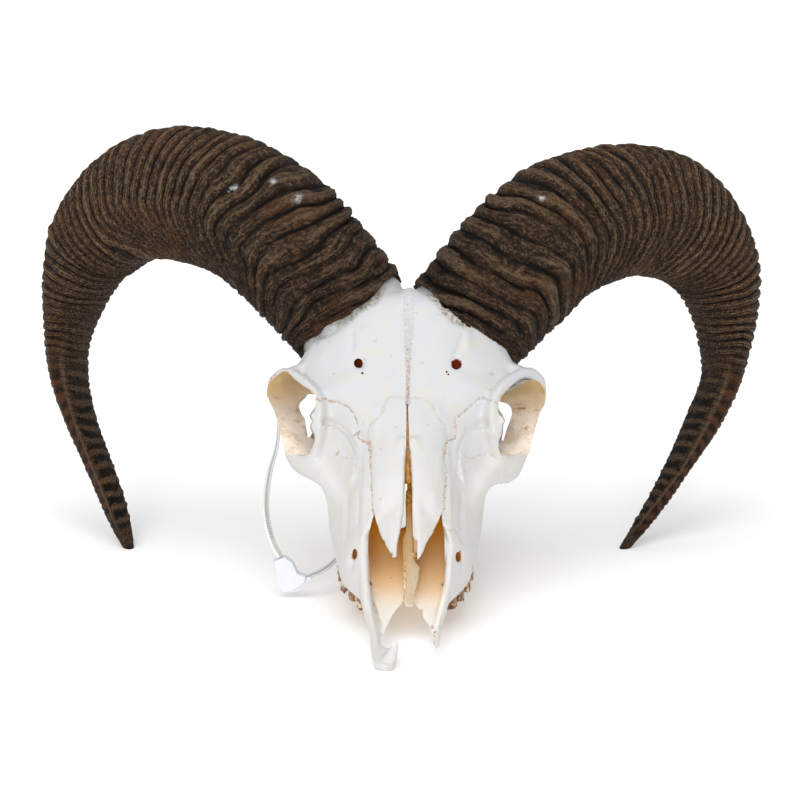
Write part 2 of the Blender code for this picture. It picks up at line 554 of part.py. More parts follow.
def thin_bones(making):
    pieces = [nose_bone("nose_bone_left", NOSE_BONE_LEFT, making),
              nose_bone("nose_bone_right", NOSE_BONE_RIGHT, making)]
    for outline in (PREMAXILLA_LEFT, PREMAXILLA_RIGHT):
        pieces.append(front_plate(outline, PREMAXILLA_THICKNESS, making))
    for outline in (PALATE_TONGUE_LEFT, PALATE_TONGUE_RIGHT):
        pieces.append(front_plate(outline, TONGUE_THICKNESS, making))
    for rows in (FRONT_BAR_LEFT, FRONT_BAR_RIGHT):
        pieces.append(bar("front_bar", rows, ACROSS, making))
    pieces += septum(making)
    for side in (-1, 1):
        pieces += [orbit_rim(side, making), orbit_band(side, making),
                   bar("cheek_bar", CHEEK_BAR, UP, making, side),
                   bar("wing_plate", WING_PLATE, UP, making, side)]
    return pieces


def tooth_ring(plan, row, side, level, growth=0.0, scale=1.0):
    """The tooth's plan outline at one level, in the bone frame."""
    across, back, length, width = row[:4]
    if side > 0:
        across -= right_inset(across, back)
    points = []
    for along, out in plan:
        size = math.hypot(along * length, out * width)
        share = scale * (1 + growth / size)
        points.append((side * (across + out * width * share), back + along * length * share, level))
    return points


def tooth(name, row, side, parts):
    plan = MOLAR_PLAN if row[4] == 2 else PREMOLAR_PLAN
    root = tooth_ring(plan, row, side, ALVEOLAR_LINE + TOOTH_ROOT, scale=TOOTH_ROOT_SHARE)
    neck = tooth_ring(plan, row, side, ALVEOLAR_LINE)
    crown = np.array(tooth_ring(plan, row, side, ALVEOLAR_LINE - TOOTH_CROWN, scale=TOOTH_CROWN_SHARE))
    for number, (along, out) in enumerate(plan):
        if out > OUTER_CUSP:
            crown[number, 2] -= CUSP_DROP
    thing = loft(name, [root, neck, crown], parts)
    mesh = bmesh.new()
    mesh.from_mesh(thing.data)
    bottom = min(mesh.faces, key=lambda face: face.calc_center_median().z)
    poked = bmesh.ops.poke(mesh, faces=[bottom])
    poked["verts"][0].co.z += CUSP_DROP * MM
    mesh.transform(standing_place())
    mesh.to_mesh(thing.data)
    mesh.free()
    return thing


def tooth_socket(row, side, making):
    plan = MOLAR_PLAN if row[4] == 2 else PREMOLAR_PLAN
    levels = (ALVEOLAR_LINE + TOOTH_ROOT + GAP, ALVEOLAR_LINE - TOOTH_CROWN)
    return loft("socket", [tooth_ring(plan, row, side, level, SOCKET_MARGIN) for level in levels], making)


def small_holes(making):
    """The nerve openings of the forehead and the face, and the slit between the nose bones."""
    cutters = []
    for side in (-1, 1):
        cutters.append(bar("brow_hole", BROW_HOLE, ACROSS, making, side, sides=8, steps=1))
        cutters.append(bar("face_hole", FACE_HOLE, UP, making, side, sides=8, steps=1))
    along_nose = (Matrix.Translation((0, NOSE_SLIT_PIVOT[0] * MM, NOSE_SLIT_PIVOT[1] * MM))
                  @ Matrix.Rotation(NOSE_SLOPE, 4, "X"))
    cutters.append(plate("nose_slit", NOSE_SLIT, NOSE_SLIT_DEPTH, along_nose, making))
    return cutters


def cranium(left_frames, right_frames, making, parts):
    mass = join("mass", bone_mass(making) + [horn_stump(left_frames, making),
                                              horn_stump(right_frames, making)], making)
    fuse(mass, MASS_VOXEL, MASS_SMOOTHING)
    carve(mass, bone_cavities(making))
    bone = join("cranium", [mass] + thin_bones(making), parts)
    fuse(bone, BONE_VOXEL, BONE_SMOOTHING)
    for vertex in bone.data.vertices:
        vertex.co.x -= right_inset(vertex.co.x / MM, vertex.co.y / MM) * MM
    return bone


def thin_out(bone):
    """Keeps the fewest triangles that still show the form."""
    decimate = bone.modifiers.new("thin out", "DECIMATE")
    decimate.ratio = CRANIUM_FACES / (2 * len(bone.data.polygons))
    decimate.use_collapse_triangulate = True
    bake(bone)


def horn_seat(frames, making):
    """What is cut from the bone so that the sheath's flat base has room."""
    rings = [horn_ring(frames, 0, HORN_SIDES, SEAT_MARGIN, shift) for shift in (-GAP, SEAT_HEIGHT)]
    return loft("horn_seat", rings, making)


def seal_strap(parts):
    route = spline(STRAP_ROUTE, 2)
    run = np.gradient(route, axis=0)
    run /= np.linalg.norm(run, axis=1, keepdims=True)
    axis = np.array(STRAP_LOOP_AXIS) - run * (run @ np.array(STRAP_LOOP_AXIS))[:, None]
    axis /= np.linalg.norm(axis, axis=1, keepdims=True)
    share = np.linspace(0, 1, len(route))
    twist = np.clip(1 - share / STRAP_TWIST_END, 0, 1) * math.pi / 2
    width = axis * np.cos(twist)[:, None] + np.cross(run, axis) * np.sin(twist)[:, None]
    flat = np.cross(run, width)
    rings = []
    for centre, w, f in zip(route, width * STRAP_WIDTH / 2, flat * STRAP_THICKNESS / 2):
        rings.append([centre + w + f, centre - w + f, centre - w - f, centre + w - f])
    return loft("seal_strap", rings, parts)


def seal_head(parts):
    upright = Matrix(((1, 0, 0, 0), (0, 0, -1, SEAL_HEAD_BACK * MM), (0, 1, 0, 0), (0, 0, 0, 1)))
    return plate("seal_head", SEAL_HEAD, SEAL_HEAD_THICKNESS, upright, parts)


def finish(thing, colour, roughness, smooth_angle):
    material = bpy.data.materials.new(thing.name + "_finish")
    material.use_nodes = True
    shader = material.node_tree.nodes["Principled BSDF"]
    shader.inputs["Base Color"].default_value = (*colour, 1)
    shader.inputs["Roughness"].default_value = roughness
    shader.inputs["Metallic"].default_value = 0.0
    thing.data.materials.clear()
    thing.data.materials.append(material)
    thing.data.shade_smooth()
    thing.data.set_sharp_from_angle(angle=math.radians(smooth_angle))


def stand_on_origin(parts):
    """Moves the whole part so that the middle of its box's bottom is the origin."""
    bpy.context.view_layer.update()
    corners = [thing.matrix_world @ vertex.co for thing in parts.objects for vertex in thing.data.vertices]
    low = [min(corner[axis] for corner in corners) for axis in range(3)]
    high = [max(corner[axis] for corner in corners) for axis in range(3)]
    shift = Vector((-(low[0] + high[0]) / 2, -(low[1] + high[1]) / 2, -low[2]))
    for thing in parts.objects:
        thing.location += shift
    bpy.context.view_layer.update()


def build():
    clear_scene()
    parts = make_collection("mouflon_skull")
    making = make_collection("making")
    left, left_frames = horn_sheath("horn_sheath_left", HORN_LEFT, parts)
    right, right_frames = horn_sheath("horn_sheath_right", HORN_RIGHT, parts)
    bone = cranium(left_frames, right_frames, making, parts)
    thin_out(bone)
    carve(bone, small_holes(making))
    carve(bone, [tooth_socket(row, side, making) for side in (-1, 1) for row in TEETH])
    bone.data.transform(standing_place())
    flatten_at_floor(bone)
    carve(bone, [horn_seat(left_frames, making), horn_seat(right_frames, making)])
    finish(bone, BONE_WHITE, 0.5, 40)
    for sheath in (left, right):
        finish(sheath, HORN_BROWN, 0.6, 60)
    for side, word in ((-1, "left"), (1, "right")):
        for number, row in enumerate(TEETH, 1):
            finish(tooth(f"tooth_{word}_{number}", row, side, parts), TOOTH_TAN, 0.4, 30)
    for seal_piece in (seal_strap(parts), seal_head(parts)):
        finish(seal_piece, SEAL_WHITE, 0.35, 30)
    bpy.data.collections.remove(making)
    stand_on_origin(parts)


build()
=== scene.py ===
import math

import bpy
import numpy as np
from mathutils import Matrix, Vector
from mathutils.bvhtree import BVHTree
from mathutils.kdtree import KDTree


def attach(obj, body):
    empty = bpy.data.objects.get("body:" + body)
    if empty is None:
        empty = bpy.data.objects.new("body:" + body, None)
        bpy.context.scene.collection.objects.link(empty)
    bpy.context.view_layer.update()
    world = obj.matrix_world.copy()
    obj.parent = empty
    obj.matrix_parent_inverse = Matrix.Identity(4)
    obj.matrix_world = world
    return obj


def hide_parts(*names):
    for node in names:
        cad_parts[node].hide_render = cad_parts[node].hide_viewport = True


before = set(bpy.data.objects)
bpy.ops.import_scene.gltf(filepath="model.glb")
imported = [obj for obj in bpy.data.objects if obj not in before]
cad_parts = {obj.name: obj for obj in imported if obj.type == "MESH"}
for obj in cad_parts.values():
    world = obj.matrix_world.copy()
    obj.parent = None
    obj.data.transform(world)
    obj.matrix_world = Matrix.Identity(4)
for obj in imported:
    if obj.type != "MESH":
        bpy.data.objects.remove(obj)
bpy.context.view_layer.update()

mm = 0.001
fullTurn = 2 * math.pi
sameSpot = 0.00001                           # metres
# for the random numbers in space: how many there are, and the primes that spread them
lumpTable = 4096
lumpPrimes = (73856093, 19349663, 83492791)

# A mouflon ram's skull with its horn sheaths and a plastic seal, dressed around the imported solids.
# Sizes are in millimetres unless a line says otherwise. The standing frame has its floor at z = 0 and
# the nose tip at y = 0; the bone frame is the skull level on its palate, before it is tipped up.

placing = {
    "standShift": (3.057, -134.558, 0.0),     # from the standing frame to this scene
    "bonePitch": math.radians(13.5),
    "footTrim": 0.4,
}
cameraSettings = {
    "target": (-0.643, 15.442, 84.0),
    "distance": 1400.0,
    "elevation": math.radians(13.0),
    "sensor": 36.0,
    "mmPerPixel": 0.468,                     # at the target
    "imageSize": 800,
}


def sceneFromStanding(points):
    return np.asarray(points, float) + placing["standShift"]


def boneFromScene(points):
    points = np.asarray(points, float) - placing["standShift"]
    y = points[..., 1]
    z = points[..., 2] + placing["footTrim"]
    c, s = math.cos(placing["bonePitch"]), math.sin(placing["bonePitch"])
    return np.stack([points[..., 0], y * c + z * s, z * c - y * s], axis=-1)


def cameraPlace():
    tilt = cameraSettings["elevation"]
    forward = np.array([0, math.cos(tilt), -math.sin(tilt)])
    up = np.array([0, math.sin(tilt), math.cos(tilt)])
    spot = np.array(cameraSettings["target"]) - cameraSettings["distance"] * forward
    return spot, forward, up


def pixelRay(across, down):
    # the direction from the camera through a pixel of the 800 by 800 photograph
    spot, forward, up = cameraPlace()
    half = cameraSettings["imageSize"] / 2
    perPixel = cameraSettings["mmPerPixel"] / cameraSettings["distance"]
    ray = forward + (across - half) * perPixel * np.array([1, 0, 0]) + (half - down) * perPixel * up
    return spot, ray / np.linalg.norm(ray)


def pixelOf(points):
    spot, forward, up = cameraPlace()
    offset = np.asarray(points, float) - spot
    depth = offset @ forward
    scale = cameraSettings["distance"] / cameraSettings["mmPerPixel"]
    half = cameraSettings["imageSize"] / 2
    return half + scale * offset[..., 0] / depth, half - scale * (offset @ up) / depth


# Small tools for objects and meshes

def makeActive(piece):
    if bpy.context.object and bpy.context.object.mode != "OBJECT":
        bpy.ops.object.mode_set(mode="OBJECT")
    bpy.ops.object.select_all(action="DESELECT")
    piece.select_set(True)
    bpy.context.view_layer.objects.active = piece


def applyModifier(piece, kind, **values):
    makeActive(piece)
    modifier = piece.modifiers.new(kind.lower(), kind)
    for name, value in values.items():
        setattr(modifier, name, value)
    bpy.ops.object.modifier_apply(modifier=modifier.name)


def readVertices(piece):
    flat = np.empty(len(piece.data.vertices) * 3)
    piece.data.vertices.foreach_get("co", flat)
    return flat.reshape(-1, 3) / mm


def writeVertices(piece, points):
    piece.data.vertices.foreach_set("co", np.ascontiguousarray(points * mm, dtype=np.float32).ravel())
    piece.data.update()


def readNormals(piece):
    flat = np.empty(len(piece.data.vertices) * 3, dtype=np.float32)
    piece.data.vertex_normals.foreach_get("vector", flat)
    return flat.reshape(-1, 3).astype(float)


def paint(piece, **marks):
    # keeps numbers at each vertex for the materials to read
    for name, values in marks.items():
        layer = piece.data.attributes.get(name) or piece.data.attributes.new(name, "FLOAT", "POINT")
        layer.data.foreach_set("value", np.ascontiguousarray(values, dtype=np.float32).ravel())


def editAll(piece):
    # starts to edit a mesh with all of it selected
    makeActive(piece)
    bpy.ops.object.mode_set(mode="EDIT")
    bpy.ops.mesh.select_all(action="SELECT")


def faceOutwards(piece):
    editAll(piece)
    bpy.ops.mesh.normals_make_consistent(inside=False)
    bpy.ops.object.mode_set(mode="OBJECT")


def copyOfNode(node, name):
    piece = bpy.data.objects.new(name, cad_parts[node].data.copy())
    bpy.context.scene.collection.objects.link(piece)
    editAll(piece)
    bpy.ops.mesh.remove_doubles(threshold=sameSpot)
    bpy.ops.object.mode_set(mode="OBJECT")
    return piece


def makeSheet(name, columns, rows, points):
    # a sheet of quads through points that are given row by row
    bpy.ops.object.select_all(action="DESELECT")
    bpy.ops.mesh.primitive_grid_add(x_subdivisions=columns - 1, y_subdivisions=rows - 1, size=1.0)
    sheet = bpy.context.active_object
    sheet.name = name
    writeVertices(sheet, points)
    return sheet


def thicken(sheet, thick):
    # turns a sheet into a solid that reaches the given distance away from the camera
    spot, forward, up = cameraPlace()
    editAll(sheet)
    bpy.ops.mesh.extrude_region_move(TRANSFORM_OT_translate={"value": Vector(forward * thick * mm)})
    bpy.ops.object.mode_set(mode="OBJECT")
    faceOutwards(sheet)
    return sheet


def remesh(piece, voxel, rounds):
    applyModifier(piece, "REMESH", mode="VOXEL", voxel_size=voxel * mm)
    applyModifier(piece, "SMOOTH", factor=0.5, iterations=rounds)


def thinOut(piece, triangles):
    applyModifier(piece, "TRIANGULATE")
    applyModifier(piece, "DECIMATE", ratio=min(1.0, triangles / len(piece.data.polygons)))


def treeOf(piece):
    polygons = [tuple(polygon.vertices) for polygon in piece.data.polygons]
    return BVHTree.FromPolygons([Vector(point) for point in readVertices(piece)], polygons)


def spotTree(spots):
    tree = KDTree(len(spots))
    for number, spot in enumerate(spots):
        tree.insert(spot, number)
    tree.balance()
    return tree


def ease(share):
    return share * share * (3 - 2 * share)


def easeStep(low, high, value):
    return ease(np.clip((value - low) / (high - low), 0, 1))


def between(value, riseFrom, riseTo, fallFrom, fallTo):
    return easeStep(riseFrom, riseTo, value) * (1 - easeStep(fallFrom, fallTo, value))


def bell(value, width):
    return np.exp(-(value / width) ** 2)


def unit(vectors):
    return vectors / np.linalg.norm(vectors, axis=1, keepdims=True)


def pathLength(points):
    # how far along a path each of its points lies
    return np.concatenate([[0], np.cumsum(np.linalg.norm(np.diff(points, axis=0), axis=1))])


def smoothRun(rows, steps):
    # a smooth curve through rows of numbers, with the given steps in each span
    rows = np.asarray(rows, float)
    result = []
    for i in range(len(rows) - 1):
        p0, p1, p2, p3 = (rows[min(max(i + k, 0), len(rows) - 1)] for k in (-1, 0, 1, 2))
        for k in range(steps):
            t = k / steps
            result.append(0.5 * (2 * p1 + (p2 - p0) * t + (2 * p0 - 5 * p1 + 4 * p2 - p3) * t ** 2
                                 + (3 * p1 - p0 - 3 * p2 + p3) * t ** 3))
    result.append(rows[-1])
    return np.array(result)


def wanderField(down, across, rowCells, columnCells, seed):
    # smooth random numbers from -1 to 1 over a sheet; they repeat across every columnCells cells
    cells = np.random.default_rng(seed).uniform(-1, 1, (rowCells + 3, columnCells))
    row = np.clip(down, 0, 1) * rowCells
    column = (across % 1.0) * columnCells
    r0, c0 = np.floor(row).astype(int), np.floor(column).astype(int)
    fr, fc = ease(row - r0), ease(column - c0)
    c1 = (c0 + 1) % columnCells
    c0 = c0 % columnCells
    top = cells[r0, c0] * (1 - fc) + cells[r0, c1] * fc
    low = cells[r0 + 1, c0] * (1 - fc) + cells[r0 + 1, c1] * fc
    return top * (1 - fr) + low * fr


def lumps(points, size, seed):
    # smooth random numbers from -1 to 1 in space, with lumps of the given size
    table = np.random.default_rng(seed).uniform(-1, 1, lumpTable)
    place = points / size
    base = np.floor(place).astype(int)
    part = ease(place - base)
    total = np.zeros(len(points))
    for corner in range(8):
        bit = np.array([corner & 1, (corner >> 1) & 1, (corner >> 2) & 1])
        weight = np.prod(np.where(bit, part, 1 - part), axis=1)
        total += weight * table[((base + bit) @ lumpPrimes) % lumpTable]
    return total


# Shader tools

def newMaterial(name):
    material = bpy.data.materials.new(name)
    material.use_nodes = True
    return material, material.node_tree, material.node_tree.nodes["Principled BSDF"]


def fillSockets(sockets, values):
    # links each value that is a socket and sets each other one
    for socket, value in zip(sockets, values):
        if isinstance(value, bpy.types.NodeSocket):
            socket.id_data.links.new(value, socket)
        elif value is not None:
            socket.default_value = (*value, 1) if socket.type == "RGBA" and len(value) == 3 else value


def treeWith(values):
    return next(value.id_data for value in values if isinstance(value, bpy.types.NodeSocket))


def addNode(tree, kind, **values):
    # adds a node; a value goes to the input of that name, or is set on the node itself
    node = tree.nodes.new(kind)
    for name, value in values.items():
        if hasattr(node, name):
            setattr(node, name, value)
        else:
            fillSockets([node.inputs[name]], [value])
    return node


def calculate(operation, *values, clamp=False):
    node = addNode(treeWith(values), "ShaderNodeMath", operation=operation, use_clamp=clamp)
    fillSockets(node.inputs, values)
    return node.outputs[0]


def times(first, second, clamp=False):
    return calculate("MULTIPLY", first, second, clamp=clamp)


def timesPlus(first, second, added, clamp=False):
    return calculate("MULTIPLY_ADD", first, second, added, clamp=clamp)


def minus(first, second):
    return calculate("SUBTRACT", first, second)


def ramp(value, low, high, start=0.0, end=1.0):
    # maps low..high smoothly to start..end
    node = addNode(value.id_data, "ShaderNodeMapRange", interpolation_type="SMOOTHSTEP")
    fillSockets(node.inputs, (value, low, high, start, end))
    return node.outputs[0]


def blendColour(share, first, second):
    node = addNode(share.id_data, "ShaderNodeMix", data_type="RGBA")
    fillSockets((node.inputs[0], node.inputs[6], node.inputs[7]), (share, first, second))
    return node.outputs[2]


def attribute(tree, name):
    return addNode(tree, "ShaderNodeAttribute", attribute_name=name).outputs["Fac"]


def stretched(vector, scale):
    return addNode(vector.id_data, "ShaderNodeMapping", Vector=vector, Scale=scale).outputs["Vector"]


def noise(vector, scale, detail=3.0, roughness=0.55, distortion=0.0):
    node = addNode(vector.id_data, "ShaderNodeTexNoise", Vector=vector, Scale=scale, Detail=detail,
                   Roughness=roughness, Distortion=distortion)
    return node.outputs["Fac"]


def newGroup(name, inputs, outputs):
    tree = bpy.data.node_groups.new(name, "ShaderNodeTree")
    for label, value in inputs.items():
        kind = "NodeSocketVector" if value is None else "NodeSocketFloat"
        socket = tree.interface.new_socket(name=label, in_out="INPUT", socket_type=kind)
        if value is not None:
            socket.default_value = value
    for label in outputs:
        tree.interface.new_socket(name=label, in_out="OUTPUT", socket_type="NodeSocketFloat")
    return tree, tree.nodes.new("NodeGroupInput").outputs, tree.nodes.new("NodeGroupOutput").inputs


def makePoreGroup():
    # small scattered pits: a mask that is 1 in a pit
    tree, entry, leave = newGroup("pores", {"Vector": None, "Scale": 900.0, "Amount": 0.3}, ["Mask"])
    cells = addNode(tree, "ShaderNodeTexVoronoi", Vector=entry["Vector"], Scale=entry["Scale"],
                    Randomness=1.0)
    pick = addNode(tree, "ShaderNodeSeparateColor", Color=cells.outputs["Color"])
    chosen = calculate("LESS_THAN", pick.outputs[0], entry["Amount"])
    size = timesPlus(pick.outputs[1], 0.25, 0.14)
    dot = ramp(cells.outputs["Distance"], times(size, 0.5), size, 1.0, 0.0)
    tree.links.new(times(dot, chosen), leave["Mask"])
    return tree


def makeMottleGroup():
    # cloudy unevenness in two sizes, from 0 to 1
    tree, entry, leave = newGroup("mottle", {"Vector": None, "Scale": 60.0, "Contrast": 1.0}, ["Mask"])
    wide, fine = (noise(entry["Vector"], scale, detail, roughness=0.5)
                  for scale, detail in ((entry["Scale"], 2.0), (times(entry["Scale"], 5.3), 3.0)))
    both = timesPlus(fine, 0.4, times(wide, 0.6))
    spread = timesPlus(minus(both, 0.5), times(entry["Contrast"], 3.0), 0.5, clamp=True)
    tree.links.new(spread, leave["Mask"])
    return tree


def placeGroup(group, **values):
    node = addNode(treeWith(values.values()), "ShaderNodeGroup", node_tree=group)
    fillSockets([node.inputs[name] for name in values], values.values())
    return node.outputs["Mask"]


def finishMaterial(shader, colour, roughness, bump=None):
    # connects the colour, the roughness and the relief, given as strength, distance and height
    tree = shader.id_data
    fillSockets((shader.inputs["Base Color"], shader.inputs["Roughness"]), (colour, roughness))
    if bump:
        strength, distance, height = bump
        node = addNode(tree, "ShaderNodeBump", Strength=strength, Distance=distance, Height=height)
        tree.links.new(node.outputs["Normal"], shader.inputs["Normal"])


poreGroup = makePoreGroup()
mottleGroup = makeMottleGroup()


# The horn sheaths

hornSettings = {
    # across, back, up, width in the arch's plane, depth; standing frame
    "left": [(-25.6, 166.3, 119.7, 57, 64), (-51.4, 172.8, 149.2, 63, 64), (-71.5, 185.7, 164, 64.8, 62),
             (-96.2, 204.1, 169.9, 64.9, 58), (-118.8, 221.8, 168.1, 61.8, 53.8),
             (-138.9, 236.2, 158, 55.6, 50.4), (-154.6, 245.8, 141.2, 47.7, 45.8),
             (-161.9, 248.3, 126.6, 37.5, 41.5), (-166.5, 248.8, 111.6, 27.9, 38.6),
             (-169.9, 245.7, 91.8, 17.6, 31.3), (-168.4, 239, 73.7, 14.7, 27),
             (-162.2, 228.9, 55.8, 12.2, 22.3), (-153.3, 217, 38.3, 11.1, 17.9),
             (-144.8, 204.8, 21.3, 10.7, 13.8), (-139.2, 197, 7.9, 8.3, 9.5), (-135.3, 192, -1.4, 4, 4.6)],
    "right": [(24.4, 166, 114.8, 57, 64), (46.4, 172, 138.5, 64, 64), (66, 184.8, 154.3, 64.9, 62),
              (85.4, 200.1, 160.2, 64.6, 58.5), (106.1, 217.9, 161.1, 62.9, 54.2),
              (125.4, 232.4, 155.9, 61.1, 52.1), (141.1, 243, 144.6, 54.7, 48.7),
              (152.5, 248.7, 128.6, 45.3, 45.3), (157.7, 248.7, 110.9, 33.3, 40),
              (158.9, 245.8, 91.5, 21.9, 33.1), (156.3, 239.2, 73.4, 15.2, 27),
              (147.1, 229.1, 55.4, 14, 23.6), (135.4, 216.9, 38.4, 10.3, 17.4),
              (122.8, 204.9, 21.1, 7.8, 12), (112.4, 196.9, 8.1, 6, 8.2), (104.4, 192, -1.6, 4, 4.6)],
    "archCentre": (98.0, 210.0, 92.0),
    "corners": 0.05,
    "rings": 1000,
    "around": 96,
    "wall": 2.6,                             # thickness of the sheath's edge
    "lipDepth": 5.0,                         # how far the edge is turned in
    "lipWave": 1.4,                          # how much the edge wanders up and down
    "lipDrop": 1.2,                          # how far it hangs past the flat base of the solid
    "lipRise": 5.0,                          # and how far it draws back at the outer corner
    "frontRise": {"left": 8.0, "right": 0.4},     # and on the front
    # share of the length: distance between crests, relief, wandering of the lines in crests
    "along": [(0.0, 7.6, 1.4, 0.6), (0.15, 7.0, 1.6, 0.65), (0.3, 6.0, 1.55, 0.45), (0.45, 5.2, 1.6, 0.28),
              (0.6, 4.5, 1.3, 0.28), (0.75, 3.9, 0.8, 0.5), (1.0, 3.2, 0.35, 0.6)],
    "backSlant": {"left": 25.0, "right": 13.0},   # how far the lines fall back to the base at the inner edge
    "bow": 4.0,                              # and how far they bulge to the tip on the front, near the base
    "crests": 512,                           # how many crests have a strength of their own
    "firstTurn": 3.2,                        # where in a crest the base starts
    "fineLines": 3,                          # thin growth lines for each crest
    "keelStart": 0.66,
    "keelWidth": 7.0,                        # degrees
    # share of the length, angle of the outer and the inner keel line (0 outer edge, 90 front, 180 inner edge)
    "keelLeft": [(0.66, 78, 128), (0.76, 62, 118), (0.86, 30, 96), (0.95, 12, 84), (1.0, 5, 80)],
    "keelRight": [(0.66, 72, 128), (0.76, 64, 122), (0.86, 40, 108), (0.95, 30, 132), (1.0, 30, 150)],
    # pale spots: pixel of the photograph and size
    "scuffsLeft": [((235, 186), 3.2), ((273, 180), 3.4), ((299, 197), 4.6), ((229, 190), 2)],
    "scuffsRight": [((543, 197), 3.6)],
}
lipRings = {}                                # filled by shapeHorn for the bone's stained rims


def hornAxis(rows, side):
    # the middle line and the directions of a horn, at even steps along it
    rows = smoothRun(rows, 40)
    centre = rows[:, :3]
    run = unit(np.gradient(centre, axis=0))
    x, y, z = hornSettings["archCentre"]
    outward = centre - (side * x, y, z)
    outward = unit(outward - run * np.sum(outward * run, axis=1, keepdims=True))
    return {"length": pathLength(centre), "centre": centre, "run": run, "outward": outward,
            "front": side * np.cross(run, outward), "width": rows[:, 3], "depth": rows[:, 4]}


def atPlaces(axis, name, places):
    column = axis[name]
    if column.ndim == 1:
        return np.interp(places, axis["length"], column)
    return np.stack([np.interp(places, axis["length"], column[:, k]) for k in range(3)], axis=-1)


def alongHorn(share, column):
    rows = hornSettings["along"]
    return np.interp(share, [row[0] for row in rows], [row[column] for row in rows])


def crestShape(turns):
    # a broad rounded crest between two narrow grooves, once in each whole turn
    part = turns - np.floor(turns)
    return 1 - np.abs(2 * part - 1) ** 2.2


def hornRelief(share, angle, turns, seed):
    # how far the surface stands out, in millimetres
    height = alongHorn(share, 2)
    round01 = angle / fullTurn
    crests = hornSettings["crests"]
    number = np.floor(turns).astype(int) % crests
    rng = np.random.default_rng(seed)
    strength = 0.5 + 0.75 * rng.uniform(size=crests)[number]
    knobs = np.zeros_like(turns)
    phases = rng.uniform(0, fullTurn, (crests, 4))
    for k, waves in enumerate((2, 3, 5, 8)):
        knobs += np.sin(angle * waves + phases[number, k]) / (1 + 0.5 * k)
    outerEdge = bell((angle + math.pi) % fullTurn - math.pi, math.radians(48))
    innerEdge = bell(angle - math.pi, math.radians(42))
    nearBase = 1 - easeStep(0.1, 0.42, share)
    strength += 0.3 * nearBase * outerEdge * np.where(number % 2 == 0, 1, -0.6)
    size = height * strength * (1 + 0.24 * knobs * (0.35 + nearBase)) * (1 + 0.5 * nearBase * outerEdge)
    size *= 1 - 0.55 * innerEdge
    relief = size * (crestShape(turns) - 0.62)
    fineTurns = turns * hornSettings["fineLines"] + 0.8 * wanderField(share, round01, 90, 14, seed + 1)
    relief += 0.36 * height * (crestShape(fineTurns) - 0.6)
    relief += 0.35 * nearBase * wanderField(share, round01, 60, 22, seed + 2)
    relief += 0.16 * wanderField(share, round01, 190, 60, seed + 3)
    return relief


def keelRelief(share, angle, lines, turns):
    # the two raised lines near the tip and the sunk, banded strip between them
    places, outers, inners = np.array(lines).T
    outer = np.radians(np.interp(share, places, outers))
    inner = np.radians(np.interp(share, places, inners))
    keelStart = hornSettings["keelStart"]
    present = between(share, keelStart, keelStart + 0.08, 0.95, 0.99)
    wide = math.radians(hornSettings["keelWidth"])
    line = bell(angle - outer, wide) + bell(angle - inner, wide)
    strip = between(angle, outer, outer + 2 * wide, inner - 2 * wide, inner)
    innerSide = easeStep(inner + wide, inner + 4 * wide, angle) * (angle < math.radians(215))
    relief = present * (0.5 * line - 0.45 * strip + 0.55 * np.sin(turns * math.pi) * innerSide)
    return relief, present * strip, present * np.clip(line, 0, 1)


def lipDrop(angle, fromEdge, sideName, seed):
    # how far the sheath's lower edge hangs past the flat base of the solid
    level, round01 = np.zeros_like(angle), angle / fullTurn
    wave = wanderField(level, round01, 2, 16, seed + 7)
    wave += 0.5 * wanderField(level + 0.9, round01, 2, 41, seed + 8)
    drop = hornSettings["lipDrop"] + hornSettings["lipWave"] * wave
    drop -= hornSettings["lipRise"] * bell(fromEdge, math.radians(38))
    front = bell(fromEdge - math.radians(95), math.radians(43)) * easeStep(-0.2, 0.4, np.sin(angle))
    return drop - hornSettings["frontRise"][sideName] * front


def crestTurns(share, angle, fromEdge, places, total, sideName, seed):
    # how many crests lie between the base and each point
    slant = hornSettings["backSlant"][sideName] * easeStep(math.radians(84), math.radians(138), fromEdge)
    slant *= between(share, 0.0, 0.14, 0.36, 0.48)
    bow = np.sin(np.minimum(fromEdge, math.pi / 2) * 2 - math.pi / 2)
    slant -= hornSettings["bow"] * bow * (1 - easeStep(0.2, 0.4, share))
    steps = np.linspace(0, 1.1, 1200)
    counted = np.concatenate([[0], np.cumsum(np.diff(steps) * total / alongHorn(steps, 1)[:-1])])
    turns = np.interp(places + slant, steps * total, counted) + hornSettings["firstTurn"]
    round01 = angle / fullTurn
    wander = 0.75 * wanderField(share, round01, 22, 7, seed + 4)
    wander += 0.35 * wanderField(share, round01, 60, 15, seed + 5)
    return turns + alongHorn(share, 3) * wander


